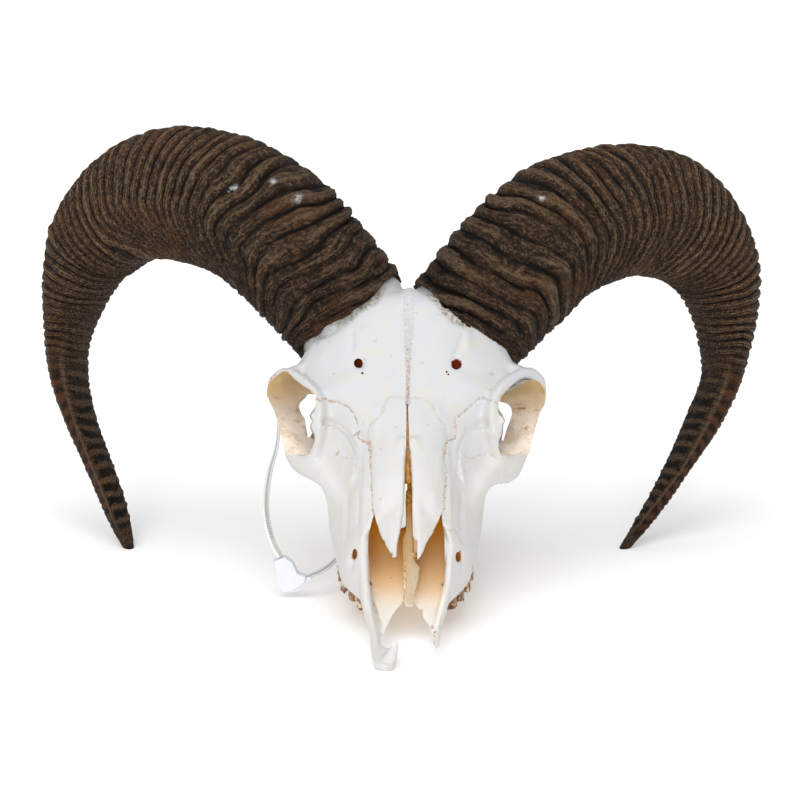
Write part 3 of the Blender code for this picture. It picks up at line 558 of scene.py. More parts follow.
def shapeHorn(name, sideName, side, seed):
    axis = hornAxis(hornSettings[sideName], side)
    total = axis["length"][-1]
    rings, around = hornSettings["rings"], hornSettings["around"]
    angle = np.linspace(0, fullTurn, around + 1) - math.pi / 2
    share, angle = np.meshgrid(np.linspace(0, 1, rings), angle, indexing="ij")
    fromEdge = np.abs((angle + math.pi) % fullTurn - math.pi)
    places = share * total - lipDrop(angle, fromEdge, sideName, seed) * (1 - easeStep(0.0, 0.05, share))
    turns = crestTurns(share, angle, fromEdge, places, total, sideName, seed)
    relief = hornRelief(share, angle % fullTurn, turns, seed)
    keel, strip, line = keelRelief(share, angle % fullTurn, hornSettings["keel" + sideName.title()], turns)
    relief = (relief * (1 - 0.7 * strip) + keel) * (1 - 0.75 * easeStep(0.93, 1.0, share))
    width, depth = atPlaces(axis, "width", places) / 2, atPlaces(axis, "depth", places) / 2
    centre = atPlaces(axis, "centre", places)
    centre += atPlaces(axis, "run", np.zeros_like(places)) * np.minimum(places, 0)[..., None]
    across = atPlaces(axis, "outward", places) * np.cos(angle)[..., None]
    forth = atPlaces(axis, "front", places) * np.sin(angle)[..., None]
    plain = (centre + width[..., None] * across + depth[..., None] * forth).reshape(-1, 3)
    rough = 0.2 * lumps(plain, 1.5, seed + 9) + 0.2 * lumps(plain, 3.4, seed + 10)
    relief += rough.reshape(relief.shape) * np.interp(share, (0, 0.3, 0.9), (1.7, 1.1, 0.5))
    corner = 1 + hornSettings["corners"] * np.cos(3 * angle)
    points = centre + (width * corner + relief)[..., None] * across
    points += (depth * corner + relief)[..., None] * forth
    points = sceneFromStanding(points.reshape(-1, 3))
    horn = makeSheet(name, around + 1, rings, points)
    horn.data.name = name
    lipRings[sideName] = points[:around]
    scuff = np.zeros(len(points))
    for pixel, size in hornSettings["scuffs" + sideName.title()]:
        away = np.linalg.norm(points - points[frontVertex(points, pixel)], axis=1)
        scuff = np.maximum(scuff, 1 - easeStep(size * 0.1, size * 0.7, away))
    paint(horn, lift=relief / alongHorn(share, 2), turns=turns, share=share)
    paint(horn, scuff=scuff, strip=strip, keelLine=line)
    closeHorn(horn, axis)
    return horn


def closeHorn(horn, axis):
    # joins the sheet's long edges, turns the sheath's edge in and cuts the tip flat at the floor
    editAll(horn)
    bpy.ops.mesh.remove_doubles(threshold=sameSpot)
    bpy.ops.mesh.normals_make_consistent(inside=False)
    bpy.ops.mesh.bisect(plane_co=(0, 0, 2 * sameSpot), plane_no=(0, 0, 1), clear_inner=True, use_fill=True)
    bpy.ops.mesh.select_all(action="DESELECT")
    bpy.ops.mesh.select_non_manifold()
    middle = Vector(sceneFromStanding(axis["centre"][0]) * mm)
    inward = Vector(axis["run"][0]) * hornSettings["lipDepth"] * mm
    shrink = 1 - 2 * hornSettings["wall"] / hornSettings["left"][0][3]
    bpy.ops.mesh.extrude_edges_move()
    bpy.ops.transform.resize(value=(shrink, shrink, shrink), center_override=middle)
    bpy.ops.mesh.extrude_edges_move(TRANSFORM_OT_translate={"value": inward})
    bpy.ops.mesh.edge_face_add()
    faceOutwards(horn)
    bpy.ops.object.shade_smooth_by_angle(angle=math.radians(60))


def makeHornMaterial():
    material, tree, shader = newMaterial("ridgedHorn")
    coordinates = addNode(tree, "ShaderNodeTexCoord")
    place, sheet = coordinates.outputs["Object"], coordinates.outputs["UV"]
    turns, share, lift, strip, line, scuff = (attribute(tree, name) for name in
                                              ("turns", "share", "lift", "strip", "keelLine", "scuff"))
    deep, mid = (0.007, 0.0048, 0.0038), (0.06, 0.032, 0.018)
    warm, pale = (0.15, 0.066, 0.026), (0.3, 0.2, 0.12)
    # fibres run around the horn, cross lines along it, and streaks follow the ridges
    fibres = noise(stretched(sheet, (520, 46, 1)), 1.0, 4.0, 0.65)
    crossing = stretched(sheet, (60, 420, 1))
    crossNoise = noise(crossing, 1.0, 3.0, 0.6)
    apart = addNode(tree, "ShaderNodeSeparateXYZ", Vector=sheet)
    ridgeWay = addNode(tree, "ShaderNodeCombineXYZ", X=times(apart.outputs[0], 74.0), Y=times(turns, 6.5))
    streaks = noise(ridgeWay.outputs[0], 1.0, 5.0, 0.72, 0.3)
    grain = timesPlus(streaks, 0.62, times(noise(place, 1300.0, 3.0, 0.7), 0.38))
    colour = blendColour(ramp(fibres, 0.3, 0.72), (0.018, 0.0125, 0.0095), mid)
    cloud = placeGroup(mottleGroup, Vector=place, Scale=85.0, Contrast=1.5)
    colour = blendColour(times(cloud, 0.45), colour, mid)
    colour = blendColour(ramp(grain, 0.5, 0.6, 0.0, 0.85), colour, (0.25, 0.15, 0.082))
    colour = blendColour(ramp(grain, 0.38, 0.5, 0.9, 0.0), colour, deep)
    rust = times(ramp(noise(place, 38.0, 2.0), 0.5, 0.66), ramp(share, 0.0, 0.55, 0.9, 0.45))
    colour = blendColour(times(rust, ramp(fibres, 0.36, 0.6)), colour, warm)
    # thin pale growth lines, three to a ridge
    wobble = timesPlus(minus(crossNoise, 0.5), 0.5, turns)
    fineWave = calculate("SINE", times(wobble, fullTurn * hornSettings["fineLines"]))
    paleShare = times(ramp(fineWave, 0.3, 1.0), ramp(lift, 0.0, 0.45))
    paleShare = times(paleShare, ramp(fibres, 0.32, 0.6, 0.25, 1.0))
    notTip = ramp(share, 0.66, 0.76, 1.0, 0.3)
    paleShare = times(times(paleShare, notTip), ramp(share, 0.12, 0.42, 0.7, 1.15), clamp=True)
    colour = blendColour(times(paleShare, ramp(grain, 0.4, 0.6, 0.3, 1.0)), colour, pale)
    # The ridge tops are painted a paler tan, partly wear and partly a painted highlight on the crests.
    crown = times(ramp(lift, 0.3, 0.75), ramp(grain, 0.42, 0.56, 0.15, 0.7))
    colour = blendColour(times(crown, notTip), colour, (0.24, 0.152, 0.088))
    colour = blendColour(ramp(share, 0.06, 0.42, 0.4, 0.0), colour, deep)
    # The low parts of the relief are painted near black, a painted shade in the grooves.
    colour = blendColour(ramp(lift, -0.6, 0.2, 0.97, 0.0), colour, deep)
    # the banded strip between the keel lines, and the pale spots
    bands = calculate("SINE", timesPlus(noise(crossing, 0.35, 2.0), 5.0, times(turns, math.pi)))
    banded = blendColour(ramp(bands, -0.9, 0.9), (0.026, 0.013, 0.008), (0.12, 0.05, 0.022))
    colour = blendColour(times(strip, 0.85), colour, banded)
    colour = blendColour(times(line, 0.22), colour, pale)
    scuffNoise = ramp(noise(place, 420.0, 3.0, 0.8, 1.0), 0.44, 0.54)
    colour = blendColour(times(scuff, scuffNoise), colour, (0.62, 0.6, 0.6))
    shader.inputs["Specular IOR Level"].default_value = 0.12
    height = timesPlus(fibres, 0.9, times(fineWave, 0.12))
    height = timesPlus(grain, 2.4, timesPlus(crossNoise, 0.5, height))
    finishMaterial(shader, colour, ramp(fibres, 0.3, 0.75, 0.5, 0.8), (1.0, 0.0009, height))
    return material


def makeHorns():
    material = makeHornMaterial()
    for sideName, side, seed in (("left", -1, 11), ("right", 1, 47)):
        horn = shapeHorn("ridged_horn_" + sideName, sideName, side, seed)
        horn.data.materials.append(material)
        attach(horn, "root")
        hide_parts("horn_sheath_" + sideName)
        print("horn", sideName, len(horn.data.polygons))


# The skull's bone

boneSettings = {
    "voxel": 0.7,
    "thickFrom": 3.0,                        # bone thinner than this is barely smoothed
    "thickTo": 9.0,
    "broadRounds": 66,
    "thinRounds": 4,
    "triangles": 186000,
    "wallSeen": 14.0,                        # the thickest bone that is measured
    "fray": (2.0, 0.25),                     # pixels between a cut edge's corners, and how far they stray
    "cutAbove": 4.0,                         # how far over the surface a slit and a hole start to be cut
    "holeAbove": 5.0,
    "holeCorners": 16,
    "rimReach": (2.6, 4.3),                  # distance from a sheath's edge over which the stain fades
    # the stumps under the sheaths: how far their upper and lower ends reach along the horn, and how far
    # inside its outline they stay
    "collarReach": (13.0, -2.5),
    "collarInset": (3.4, 1.4),
    # small forms fused to the solid's copy: centre in the bone frame (across, back, up) and radii
    "knobs": [((0.9, 172.5, 96.5), (5.5, 7, 3.4)), ((4.5, 172.5, 95.8), (5, 6, 2.4))],
}

# What follows is drawn on the photograph, in pixels of its 800 by 800 frame, unless a line says otherwise.
# Ribbons of bone that are added: how far behind the surface they start, how thick they are, how many pixels
# beside the left edge the surface is read, and rows of (left, right, down). A fourth number is how many
# millimetres the edge on the outside of the face falls away; the inner edge is read there.
boneRibbons = {
    "cheekLeft": (0.3, 3.9, 0, [(285.6, 297, 456.5, 7), (287.6, 300, 462, 8.5), (290.6, 304, 467.5, 10),
        (294.6, 309, 472.4, 12), (299.6, 314, 475.8, 12.5), (306, 319, 478, 11), (312.4, 324, 479.6, 9),
        (317.4, 327, 483, 7), (321, 329.4, 487.6, 6), (323.6, 331, 492.4, 5), (325.8, 332, 499, 4),
        (327.6, 332.6, 506, 3), (329, 333, 514, 2)]),
    "cheekRight": (0.3, 3.9, 0, [(514, 526.8, 457, 9.5), (512, 525.4, 462, 10), (508, 523.6, 468, 12),
        (504, 521.4, 472.4, 13.5), (500, 518.6, 476.4, 15), (496, 513, 481.4, 14), (491, 505.4, 484.2, 12),
        (486, 496, 485.4, 8), (482, 490, 488.6, 5), (480, 486.6, 493, 4), (480, 484.8, 499, 3),
        (480.6, 483.6, 506, 2)]),
    "slitFloor": (2.7, 2.0, -7, [(403.5, 412, 402), (403, 413, 425), (402.5, 414, 455),
        (402.5, 414.5, 484)]),
    "noseInnerLeft": (0.45, 2.0, 1, [(398, 406.3, 436), (398, 406, 460), (398, 405.6, 482),
        (397.5, 404.9, 500), (396.5, 403.4, 516), (394.5, 401.7, 527), (392.5, 399, 539),
        (391.5, 396.4, 553)]),
    "noseInnerRight": (0.45, 2.0, 7, [(409.4, 418, 436), (410, 418, 460), (410.6, 418, 482),
        (411.4, 419, 500), (412.1, 420, 520), (412.7, 419.5, 538), (413.6, 418, 552), (414, 417, 559)]),
    "sideLeft": (0.5, 2.4, -2, [(366.5, 374, 515.5), (365.5, 371.6, 522), (364, 369.8, 530),
        (363, 369.2, 541), (363, 369, 552), (364, 369.6, 562)]),
    "sideRight": (0.5, 2.4, 9, [(441.6, 448.6, 515.5), (443.2, 449, 526), (443.6, 449.4, 540),
        (443.9, 449.4, 552), (444.4, 449.4, 562)]),
    "eyeEdgeLeft": (0.0, 1.8, 15, [(315.4, 325, 403), (313.6, 325, 409), (309.2, 325, 415),
        (309.9, 325, 418), (312.4, 325, 421.4), (310.5, 325, 424.3), (309.7, 325, 428), (312, 325, 432.8),
        (313.6, 325, 437), (314, 325, 442), (312.8, 325, 447), (310.5, 325, 452)]),
    "eyeEdgeRight": (0.8, 1.8, -1, [(489, 498.4, 404), (489, 498.2, 409), (489, 499, 413),
        (489, 503.4, 417.4), (489, 505.4, 420.8), (489, 502.8, 425), (489, 502.8, 432.5),
        (489, 501.2, 438.8), (489, 497, 441.4), (489, 497.3, 447.5), (489, 500, 453.8)]),
}
# Flat pieces that are added: scene depth of the front, thickness and the outline.
bonePlates = {
    "eyeFillLeft": (2, 2.4, [(305.6, 435), (315, 433.4), (317, 453), (307, 457)]),
    "eyeFillRight": (2, 2.4, [(495, 437), (504, 437), (505.5, 458), (497, 457)]),
    "hook": (-131.5, 5, [(384, 655), (389.5, 649), (392.5, 642.5), (395, 641), (397.6, 642.5), (398.3, 648),
        (397.8, 658), (394.5, 666), (388, 668), (384, 664)]),
}
# Boards between the two nasal passages: two points of their sloping front plane in the bone frame, then how
# far behind it each one starts, its thickness and its outline.
septumFront = ((0, 50, 8.8), (0, 89, 39.8))
septumBoards = [
    (0.0, 2.4, [(405.6, 490), (411.6, 490), (412.4, 538), (413.4, 554), (417, 563), (420.6, 567),
        (419.4, 580), (416, 594), (412.8, 606), (405.6, 606)]),
    (2.0, 2.4, [(401.8, 534), (406.5, 534), (406.5, 606), (404, 604), (402.4, 580)]),
]
# Openings that are cut straight through: scene depths of the front and the back, and the outline.
boneCuts = {
    "eyeHoleLeft": (-60, 30, [(315.6, 394.3), (315.6, 404.4), (313.6, 409), (309.4, 415.1), (310, 418),
        (312.2, 421.4), (310.5, 424.3), (309.9, 428), (312.2, 432.8), (310, 437), (307.8, 437.4),
        (306.7, 431.1), (305.6, 423.3), (305, 418.9), (301.7, 414.4), (299.4, 408.9), (299.4, 402.2),
        (302.8, 397.2), (308.3, 394.4)]),
    "eyeHoleRight": (-60, 30, [(498.6, 401.3), (507.5, 403.8), (511.3, 408.1), (512.3, 413.8), (510, 420),
        (506.9, 428.8), (504.6, 436.3), (503.2, 441), (501.6, 440), (502.9, 432.5), (503.2, 425.6),
        (505.2, 421.3), (502.9, 415), (498.6, 408.8), (498.1, 403.8)]),
    "outsideLeft": (-60, 60, [(250, 397.6), (268.4, 397.6), (269.6, 402), (272.6, 408), (275.2, 414),
        (277.4, 420.5), (279.6, 429), (281.4, 437.8), (283.2, 445.5), (284.8, 452.2), (285.8, 456),
        (250, 456)]),
    "outsideRight": (-60, 60, [(562, 404), (544.8, 404), (542.4, 408.3), (540.2, 412.6), (538.2, 418.6),
        (536.4, 425), (534.6, 431), (532.7, 437.5), (531, 443.5), (529.6, 449), (562, 449)]),
    "palateArch": (-140, 0, [(384, 636), (389.5, 619.7), (394, 612.5), (398.5, 607), (403.3, 600.7),
        (405, 602), (405.4, 606.5), (412.8, 606.5), (413.8, 601.5), (418.5, 608), (423, 618), (427.4, 631.7),
        (430, 643), (420, 646), (400, 637)]),
}
# Holes and slits that end inside the bone: depth below the surface, where the surface is read, outline.
boneHollows = {
    "noseSlit": (2.9, None, [(406.5, 404, 408), (406.3, 437, 409.3), (406.2, 455, 409.9),
        (405.9, 472, 410.3), (405.5, 486, 410.7)]),
    "browLeft": (8.0, (352, 363), [4.5, 4.7, 358.3, 363.1]),
    "browRight": (5.0, (450, 364.8), [4.8, 4.7, 456.2, 364.9]),
    "browSmallLeft": (2.5, (360, 374), [1.2, 1.2, 362.4, 373.2]),
    "browSmallRight": (2.5, (444, 372), [1.0, 1.1, 446.6, 372]),
    "browTinyRight": (2.0, (444, 374), [0.9, 1.0, 448.4, 374.4]),
    "faceLeft": (6.0, (354.9, 554), [2.5, 5.2, 354.9, 554]),
    "faceRight": (6.0, (458, 557), [2.4, 5.2, 458, 557]),
    "noseCornerLeft": (6.0, None, [(373.9, 514.6, 374.3), (371.6, 522, 376.4), (369.8, 530, 379),
        (369, 543, 382.4)]),
    "noseCornerRight": (6.0, None, [(441.1, 514.6, 441.6), (438, 522, 442.6), (433.6, 531, 443.4),
        (428, 544, 443.8)]),
}
# The smooth hollow faces of the bars behind the eyes: rows of pixels at the outer edge, at the edge of the
# bone in front and down, then four scene depths in millimetres from the outer edge to past the inner one.
eyeFaces = {
    "left": [(283.5, 287.6, 371.6, -1.4, -1, -0.4, 0.2), (279.5, 290.5, 374.5, -2, -1, 0.5, 3),
        (275, 294, 378, -2.8, -1.6, 2, 7), (271, 298.2, 382, -1.4, -0.8, 5, 11),
        (268.2, 305, 386.5, 0.4, 2.6, 9, 14), (267.2, 312.4, 390.5, 1, 5, 12, 15),
        (267.4, 316, 394.5, 1.4, 6.4, 13, 16), (268.8, 316, 399, 1.5, 7, 13, 15.5),
        (270.8, 315.6, 404, 1.2, 7, 13, 15), (273, 313.6, 409, 0.6, 6, 12, 14),
        (275.6, 309.4, 415, 0, 4.6, 9.5, 12), (277.4, 312.2, 421, -1.4, 2.6, 7, 10.5),
        (279, 310, 427, -2.6, -0.6, 4, 8.5), (280.6, 312.2, 433, -4.2, -3.2, 1.5, 6),
        (282, 314, 439, -6.3, -8, -3, 2), (283.6, 313.5, 445, -8.8, -12, -10, -4),
        (285, 311.4, 450, -11.6, -15.6, -17.5, -16), (286.6, 309.5, 455, -13.6, -18, -22.5, -26.5)],
    "right": [(533, 527.4, 380, -2, -1.4, -0.8, 0), (538.4, 523.2, 382.6, -2.6, -1.4, 1.5, 5),
        (541.4, 518.6, 385.8, -1, 0.6, 5, 10), (543.4, 512.8, 389, 0.4, 4, 10, 14),
        (544.4, 507, 392, 1, 6, 12.5, 16), (545, 499.6, 395.5, 1.2, 7, 13.5, 17),
        (544.8, 498.4, 400, 1.2, 7.5, 14, 17), (543.6, 498.2, 404.5, 1, 7, 13.5, 16),
        (541.4, 499, 410, 0.6, 6, 12, 14.5), (539, 503, 416, -0.2, 4, 9, 12.5),
        (537, 505, 421, -1.2, 2.4, 7, 10.5), (535.2, 503, 427, -2.6, -0.6, 4, 8.5),
        (533.4, 502.6, 433, -4.2, -3, 1.5, 6), (531.8, 501.4, 439, -6.3, -8, -3, 2),
        (530.2, 497, 445, -8.8, -12, -10, -4), (528.6, 498.2, 450, -10.6, -15.4, -17.5, -16),
        (526.6, 501, 455.5, -13.6, -18.5, -22.5, -27)],
}
eyeSettings = {
    "columns": 13,
    "frayedTo": 400,                         # pixels down to which the edge is frayed
    "past": 3.5,                             # pixels that a face goes on behind the bone in front
    "skin": 2.8,                             # thickness of the bars at the face
    "cleared": 70.0,                         # how far in front of the face the bone is taken away
}
# Steps where the surface drops into a hollow on one side: drop and reach in millimetres, and the line,
# with the hollow on its right-hand side as it is drawn.
boneSteps = [
    (2.3, 6.5, [(349, 488), (352.6, 474), (353.8, 461), (351.6, 450), (347, 441.5), (341.5, 434.8),
        (336, 430.4), (330, 428), (322, 430), (315, 434)]),
    (2.3, 6.5, [(494, 439), (488.2, 433.4), (482, 430.8), (475.9, 430.8), (471, 434), (467.6, 439.6),
        (464.6, 446), (462.4, 453), (461.6, 464), (464, 478), (467, 488)]),
]
# Soft ridges and grooves: height and half width in millimetres, and the line.
boneStrokes = [
    (0.8, 1.8, [(345.7, 424.6), (350.3, 431), (355, 440), (357.5, 452), (357, 470)]),
    (0.8, 1.8, [(468, 426), (463, 434), (459, 444), (457.5, 456), (458, 470)]),
    (-0.7, 1.6, [(320, 421), (328, 422), (335, 424.6)]),
    (-0.7, 1.6, [(474, 426.4), (480, 424), (487, 423.4)]),
    (0.7, 1.6, [(311, 425), (320, 425.4), (328, 424.4)]),
    (0.8, 1.7, [(490, 429), (496, 433), (497, 439), (492, 441)]),
    (-0.9, 2.6, [(347, 490), (346.4, 515), (345, 545)]), (-0.9, 2.6, [(464, 492), (462, 515), (462, 545)]),
    (-0.5, 1.0, [(358.6, 490), (358.4, 510), (357.6, 530)]),
    (0.5, 1.6, [(364, 450), (364.6, 500), (363, 545)]), (0.5, 1.6, [(450, 450), (449.6, 500), (450.6, 545)]),
    (-0.6, 1.8, [(303, 470), (312, 472.6), (322, 471.6)]),
    (-0.6, 1.8, [(495, 474), (504, 470.6), (512, 471)]),
    (-0.45, 1.2, [(353.4, 328), (352.4, 342), (351, 357)]),
    (-0.55, 1.3, [(464.6, 332.5), (459, 346), (452.4, 361)]),
    (0.5, 2.0, [(467, 332), (468, 343), (467, 354)]),
    (0.35, 2.2, [(378, 405), (374, 440), (377, 480), (383, 520)]),
    (0.35, 2.2, [(437, 405), (441, 440), (437, 480), (432, 520)]),
]
# Shallow dents and swellings: place, radius and height in millimetres.
boneSwells = [
    ((409.4, 289.5), 6.0, 0.6), ((333, 452), 9.0, -1.1), ((484, 452), 9.0, -1.1), ((310, 398), 5.0, 0.5),
    ((372, 340), 16.0, 0.5), ((444, 340), 16.0, 0.5),
]
# Seams between the bones: how brown they are, the half width of the line in millimetres and the line.
boneSeams = {
    "lacrimalLeft": (0.9, 0.22, [(335, 401.6), (341, 403.4), (347.7, 407), (354, 414.6), (357, 423.6)]),
    "lacrimalRight": (0.9, 0.24, [(476, 401.2), (470, 406.6), (461, 414.6), (456.4, 420), (455.6, 427)]),
    "lacrimalTopLeft": (0.7, 0.5, [(316.4, 399), (321, 400.6), (325, 399), (330, 401.4), (335, 401.6)]),
    "lacrimalTopRight": (0.6, 0.4, [(498, 403.6), (493.6, 401), (488, 400.4), (484, 397.6), (479, 398.6),
        (476, 401.2)]),
    "cornerLeft": (0.85, 0.35, [(355, 434.6), (359.3, 432), (357.4, 436.4), (361, 440), (366, 442.4)]),
    "cornerGapLeft": (1.0, 1.0, [(365.6, 442), (368.2, 443.2), (369.8, 446), (370.4, 450.6)]),
    "cornerRight": (0.9, 0.4, [(456, 436), (455, 438.4), (449.6, 440), (446.8, 442.6), (446, 446)]),
    "noseTopLeft": (0.3, 0.5, [(407.3, 397.4), (391, 396.7), (385.6, 401.7), (381.3, 414.3), (371, 424),
        (368, 434), (367.3, 441.5)]),
    "noseTopRight": (0.3, 0.5, [(409, 397.6), (423.6, 398.6), (431.6, 403.4), (434.5, 411.5), (440, 420),
        (445, 427), (446.5, 443)]),
    "noseSideLeft": (0.85, 0.35, [(369.4, 441.5), (370.6, 448), (370.2, 460), (371, 472), (371.8, 496),
        (372.7, 510), (373.8, 516)]),
    "noseSideRight": (0.8, 0.35, [(446.5, 443), (445, 450), (444.4, 460.7), (446.4, 472), (444.7, 492.6),
        (444.4, 508), (442, 516)]),
    "cheekLeft": (0.35, 0.25, [(341, 457), (348, 458.4), (353, 457.4)]),
    "cheekRight": (0.4, 0.25, [(466, 456.6), (471, 458), (480, 455.4), (490, 455), (498, 459)]),
    "palateLineLeft": (0.55, 0.5, [(373.5, 603), (377, 612), (381.5, 625)]),
    "septumLine": (0.9, 0.35, [(404.2, 560), (404.6, 580), (404, 599)]),
    "sideCrackRight": (0.5, 0.3, [(445, 528), (449, 530.6), (455.6, 529.4), (456.4, 533)]),
}
boneMidline = [(409.4, 288), (409, 300), (408.6, 330), (408.2, 360), (407.8, 397), (407.6, 405)]
# Single brown specks: place and size in millimetres.
boneSpecks = [
    ((324, 375), 0.5), ((491, 374), 0.5), ((307.7, 339.4), 1.5), ((309.4, 336.6), 0.9), ((361.4, 327), 0.4),
    ((354.6, 334.6), 0.35), ((395.6, 355.6), 0.4), ((275, 375), 0.7), ((271.6, 378.6), 0.6),
    ((304, 379), 0.5), ((337, 451.4), 0.6), ((337.4, 454), 0.5), ((478.4, 367), 0.3), ((391.6, 554.4), 1.0),
    ((337, 570), 0.6), ((341, 575), 0.5), ((435, 632), 0.8), ((432.4, 640), 0.7), ((432, 627), 0.6),
    ((434.6, 636), 0.6), ((431.4, 634), 0.5), ((460.4, 470.6), 0.5), ((519.8, 405), 1.0),
    ((522.6, 408.6), 0.6), ((520.4, 438), 0.6), ((537.2, 410), 0.4), ((526.4, 428), 0.8), ((278, 397), 1.1),
    ((299, 421), 0.7), ((284, 419), 0.8), ((294.4, 396.6), 0.9),
]
# Where the tan inside of the nose shows between the bones in front of it.
noseOpening = [
    (373.8, 514), (369.4, 530), (368.6, 551), (370.4, 580), (375.4, 602.5), (381, 627), (384, 645),
    (400, 645), (425, 650), (434, 640), (439, 622), (443.6, 600), (444.8, 568), (444, 540), (443.4, 526.7),
    (441.4, 514), (412, 480), (404, 480),
]

# The roof of the nose in the bone frame: y, height in the middle, height at the sides and half width.
noseRoof = [
    (48.5, 28.6, 28.2, 6.4), (53, 31, 29.3, 8.6), (60, 34.4, 30.6, 11.4), (68, 38.2, 32, 13.8),
    (77, 42.4, 34.6, 15.6), (90, 49, 40, 17), (104, 56.2, 45.6, 17.4), (117, 62.4, 50.4, 17),
    (128, 67.4, 54.4, 17),
]
# Where tints fade from none to all, in millimetres of the bone frame unless a line says otherwise.
maskSettings = {
    "underRoof": (-2.7, -1.9),               # height over the nose's roof at which its inside ends
    "noseBack": (126, 140),
    "boardMiddle": 1.4,
    "boardSide": (4.6, 5.2),
    "boardPlane": (8.8, 50, 0.795),          # height and y of a point of its front, and its slope
    "boardPast": (1.2, 2.2),                 # how far in front of that plane its tint ends
    "slitSide": (3.2, 4.2),
    "slitAlong": (80, 84, 134, 138),
    "slitFloor": (-14, -8),                  # heights over the nose's roof
    "slitTop": (-1.9, -1.1),
    "eyePast": 1.6,                          # pixels past the outer edge of the bars
    "eyeFront": (-27, -23),                  # scene depths
    "eyeBack": 30,
    "eyeEnd": (450, 468),                    # pixels down
    "down": (515, 120, 370, 92),             # pixels down and long: the nose's shading, then the eyes'
}


def sceneFromBone(points):
    points = np.asarray(points, float)
    c, s = math.cos(placing["bonePitch"]), math.sin(placing["bonePitch"])
    y, z = points[..., 1], points[..., 2]
    standing = [points[..., 0], y * c - z * s, y * s + z * c - placing["footTrim"]]
    return sceneFromStanding(np.stack(standing, axis=-1))


def surfaceAt(tree, pixel):
    # how far from the camera the surface lies at a pixel
    spot, ray = pixelRay(*pixel)
    return tree.ray_cast(Vector(spot), Vector(ray))[3]


def onPlane(pixel, point, normal):
    spot, ray = pixelRay(*pixel)
    return spot + ray * (((np.asarray(point) - spot) @ normal) / (ray @ normal))


def prismThrough(name, pixels, front, back):
    # a closed prism over an outline, between two planes given as (point, normal)
    bpy.ops.object.select_all(action="DESELECT")
    bpy.ops.mesh.primitive_cylinder_add(vertices=len(pixels), radius=1.0, depth=2.0)
    prism = bpy.context.active_object
    prism.name = name
    corners = readVertices(prism)
    for upper, plane in ((corners[:, 2] > 0, front), (corners[:, 2] < 0, back)):
        chosen = np.where(upper)[0]
        order = chosen[np.argsort(np.arctan2(corners[chosen, 1], corners[chosen, 0]))]
        corners[order] = [onPlane(pixel, *plane) for pixel in pixels]
    writeVertices(prism, corners)
    faceOutwards(prism)
    return prism


def ribbonAlong(name, rows, start, thick):
    # a closed ribbon from rows of (left, right, down, distance from the camera, fall at the outer edge)
    points = []
    for left, right, down, away, fall in rows:
        outer = left if left < cameraSettings["imageSize"] / 2 else right
        for across in (left, right):
            spot, ray = pixelRay(across, down)
            points.append(spot + ray * (away + start + (fall if across == outer else 0)))
    return thicken(makeSheet(name, 2, len(rows), np.array(points)), thick)


def flatPlanes(front, back):
    return ((0, front, 0), np.array([0, 1.0, 0])), ((0, back, 0), np.array([0, 1.0, 0]))


def addForms(bone):
    tree = treeOf(bone)
    pieces = []
    for centre, radii in boneSettings["knobs"]:
        bpy.ops.object.select_all(action="DESELECT")
        bpy.ops.mesh.primitive_uv_sphere_add(segments=24, ring_count=14, radius=1.0)
        knob = bpy.context.active_object
        knob.scale = [radius * mm for radius in radii]
        knob.rotation_euler = (placing["bonePitch"], 0, 0)
        knob.location = Vector(sceneFromBone(centre)) * mm
        pieces.append(knob)
    for name, (start, thick, beside, rows) in boneRibbons.items():
        placed, last = [], None
        for left, right, down, *fall in rows:
            reading = left if not fall or left > cameraSettings["imageSize"] / 2 else right
            last = surfaceAt(tree, (reading + beside, down)) or last
            placed.append((left, right, down, last, fall[0] if fall else 0))
        runs = np.array(placed, float)
        runs[:, 3] = np.convolve(np.pad(runs[:, 3], 1, mode="edge"), (0.25, 0.5, 0.25), mode="valid")
        pieces.append(ribbonAlong(name, runs, start, thick))
    for name, (front, thick, pixels) in bonePlates.items():
        pieces.append(prismThrough(name, pixels, *flatPlanes(front, front + thick)))
    pieces += [makeCollar("left", -1), makeCollar("right", 1)]
    low, high = sceneFromBone(septumFront)
    normal = np.cross(high - low, (1.0, 0, 0))
    for behind, thick, pixels in septumBoards:
        front, back = low + (0, behind, 0), low + (0, behind + thick, 0)
        pieces.append(prismThrough("septum", pixels, (front, normal), (back, normal)))
    makeActive(bone)
    for piece in pieces:
        piece.select_set(True)
    bpy.ops.object.join()


def makeCollar(sideName, side):
    # the stump of bone that shows under a sheath's edge
    axis = hornAxis(hornSettings[sideName], side)
    bpy.ops.object.select_all(action="DESELECT")
    bpy.ops.mesh.primitive_cylinder_add(vertices=48, radius=1.0, depth=2.0)
    collar = bpy.context.active_object
    corners = readVertices(collar) * mm
    upper = corners[:, 2] > 0
    angle = np.arctan2(corners[:, 1], corners[:, 0])
    bulge = 1 + hornSettings["corners"] * np.cos(3 * angle)
    reach = np.where(upper, *boneSettings["collarReach"])
    inset = np.where(upper, *boneSettings["collarInset"])
    width, depth = axis["width"][0] / 2 - inset, axis["depth"][0] / 2 - inset
    placed = axis["centre"][0] + reach[:, None] * axis["run"][0] \
        + (width * bulge * np.cos(angle))[:, None] * axis["outward"][0] \
        + (depth * bulge * np.sin(angle))[:, None] * axis["front"][0]
    writeVertices(collar, sceneFromStanding(placed))
    faceOutwards(collar)
    return collar


def ragged(pixels, step, size, seed):
    # more points along an outline, each a little out of place
    rng = np.random.default_rng(seed)
    result = []
    for (x0, y0), (x1, y1) in zip(pixels, pixels[1:] + pixels[:1]):
        count = max(1, int(math.hypot(x1 - x0, y1 - y0) / step))
        for k in range(count):
            share = k / count
            push = rng.uniform(-size, size, 2) if k else (0, 0)
            result.append((x0 + (x1 - x0) * share + push[0], y0 + (y1 - y0) * share + push[1]))
    return result


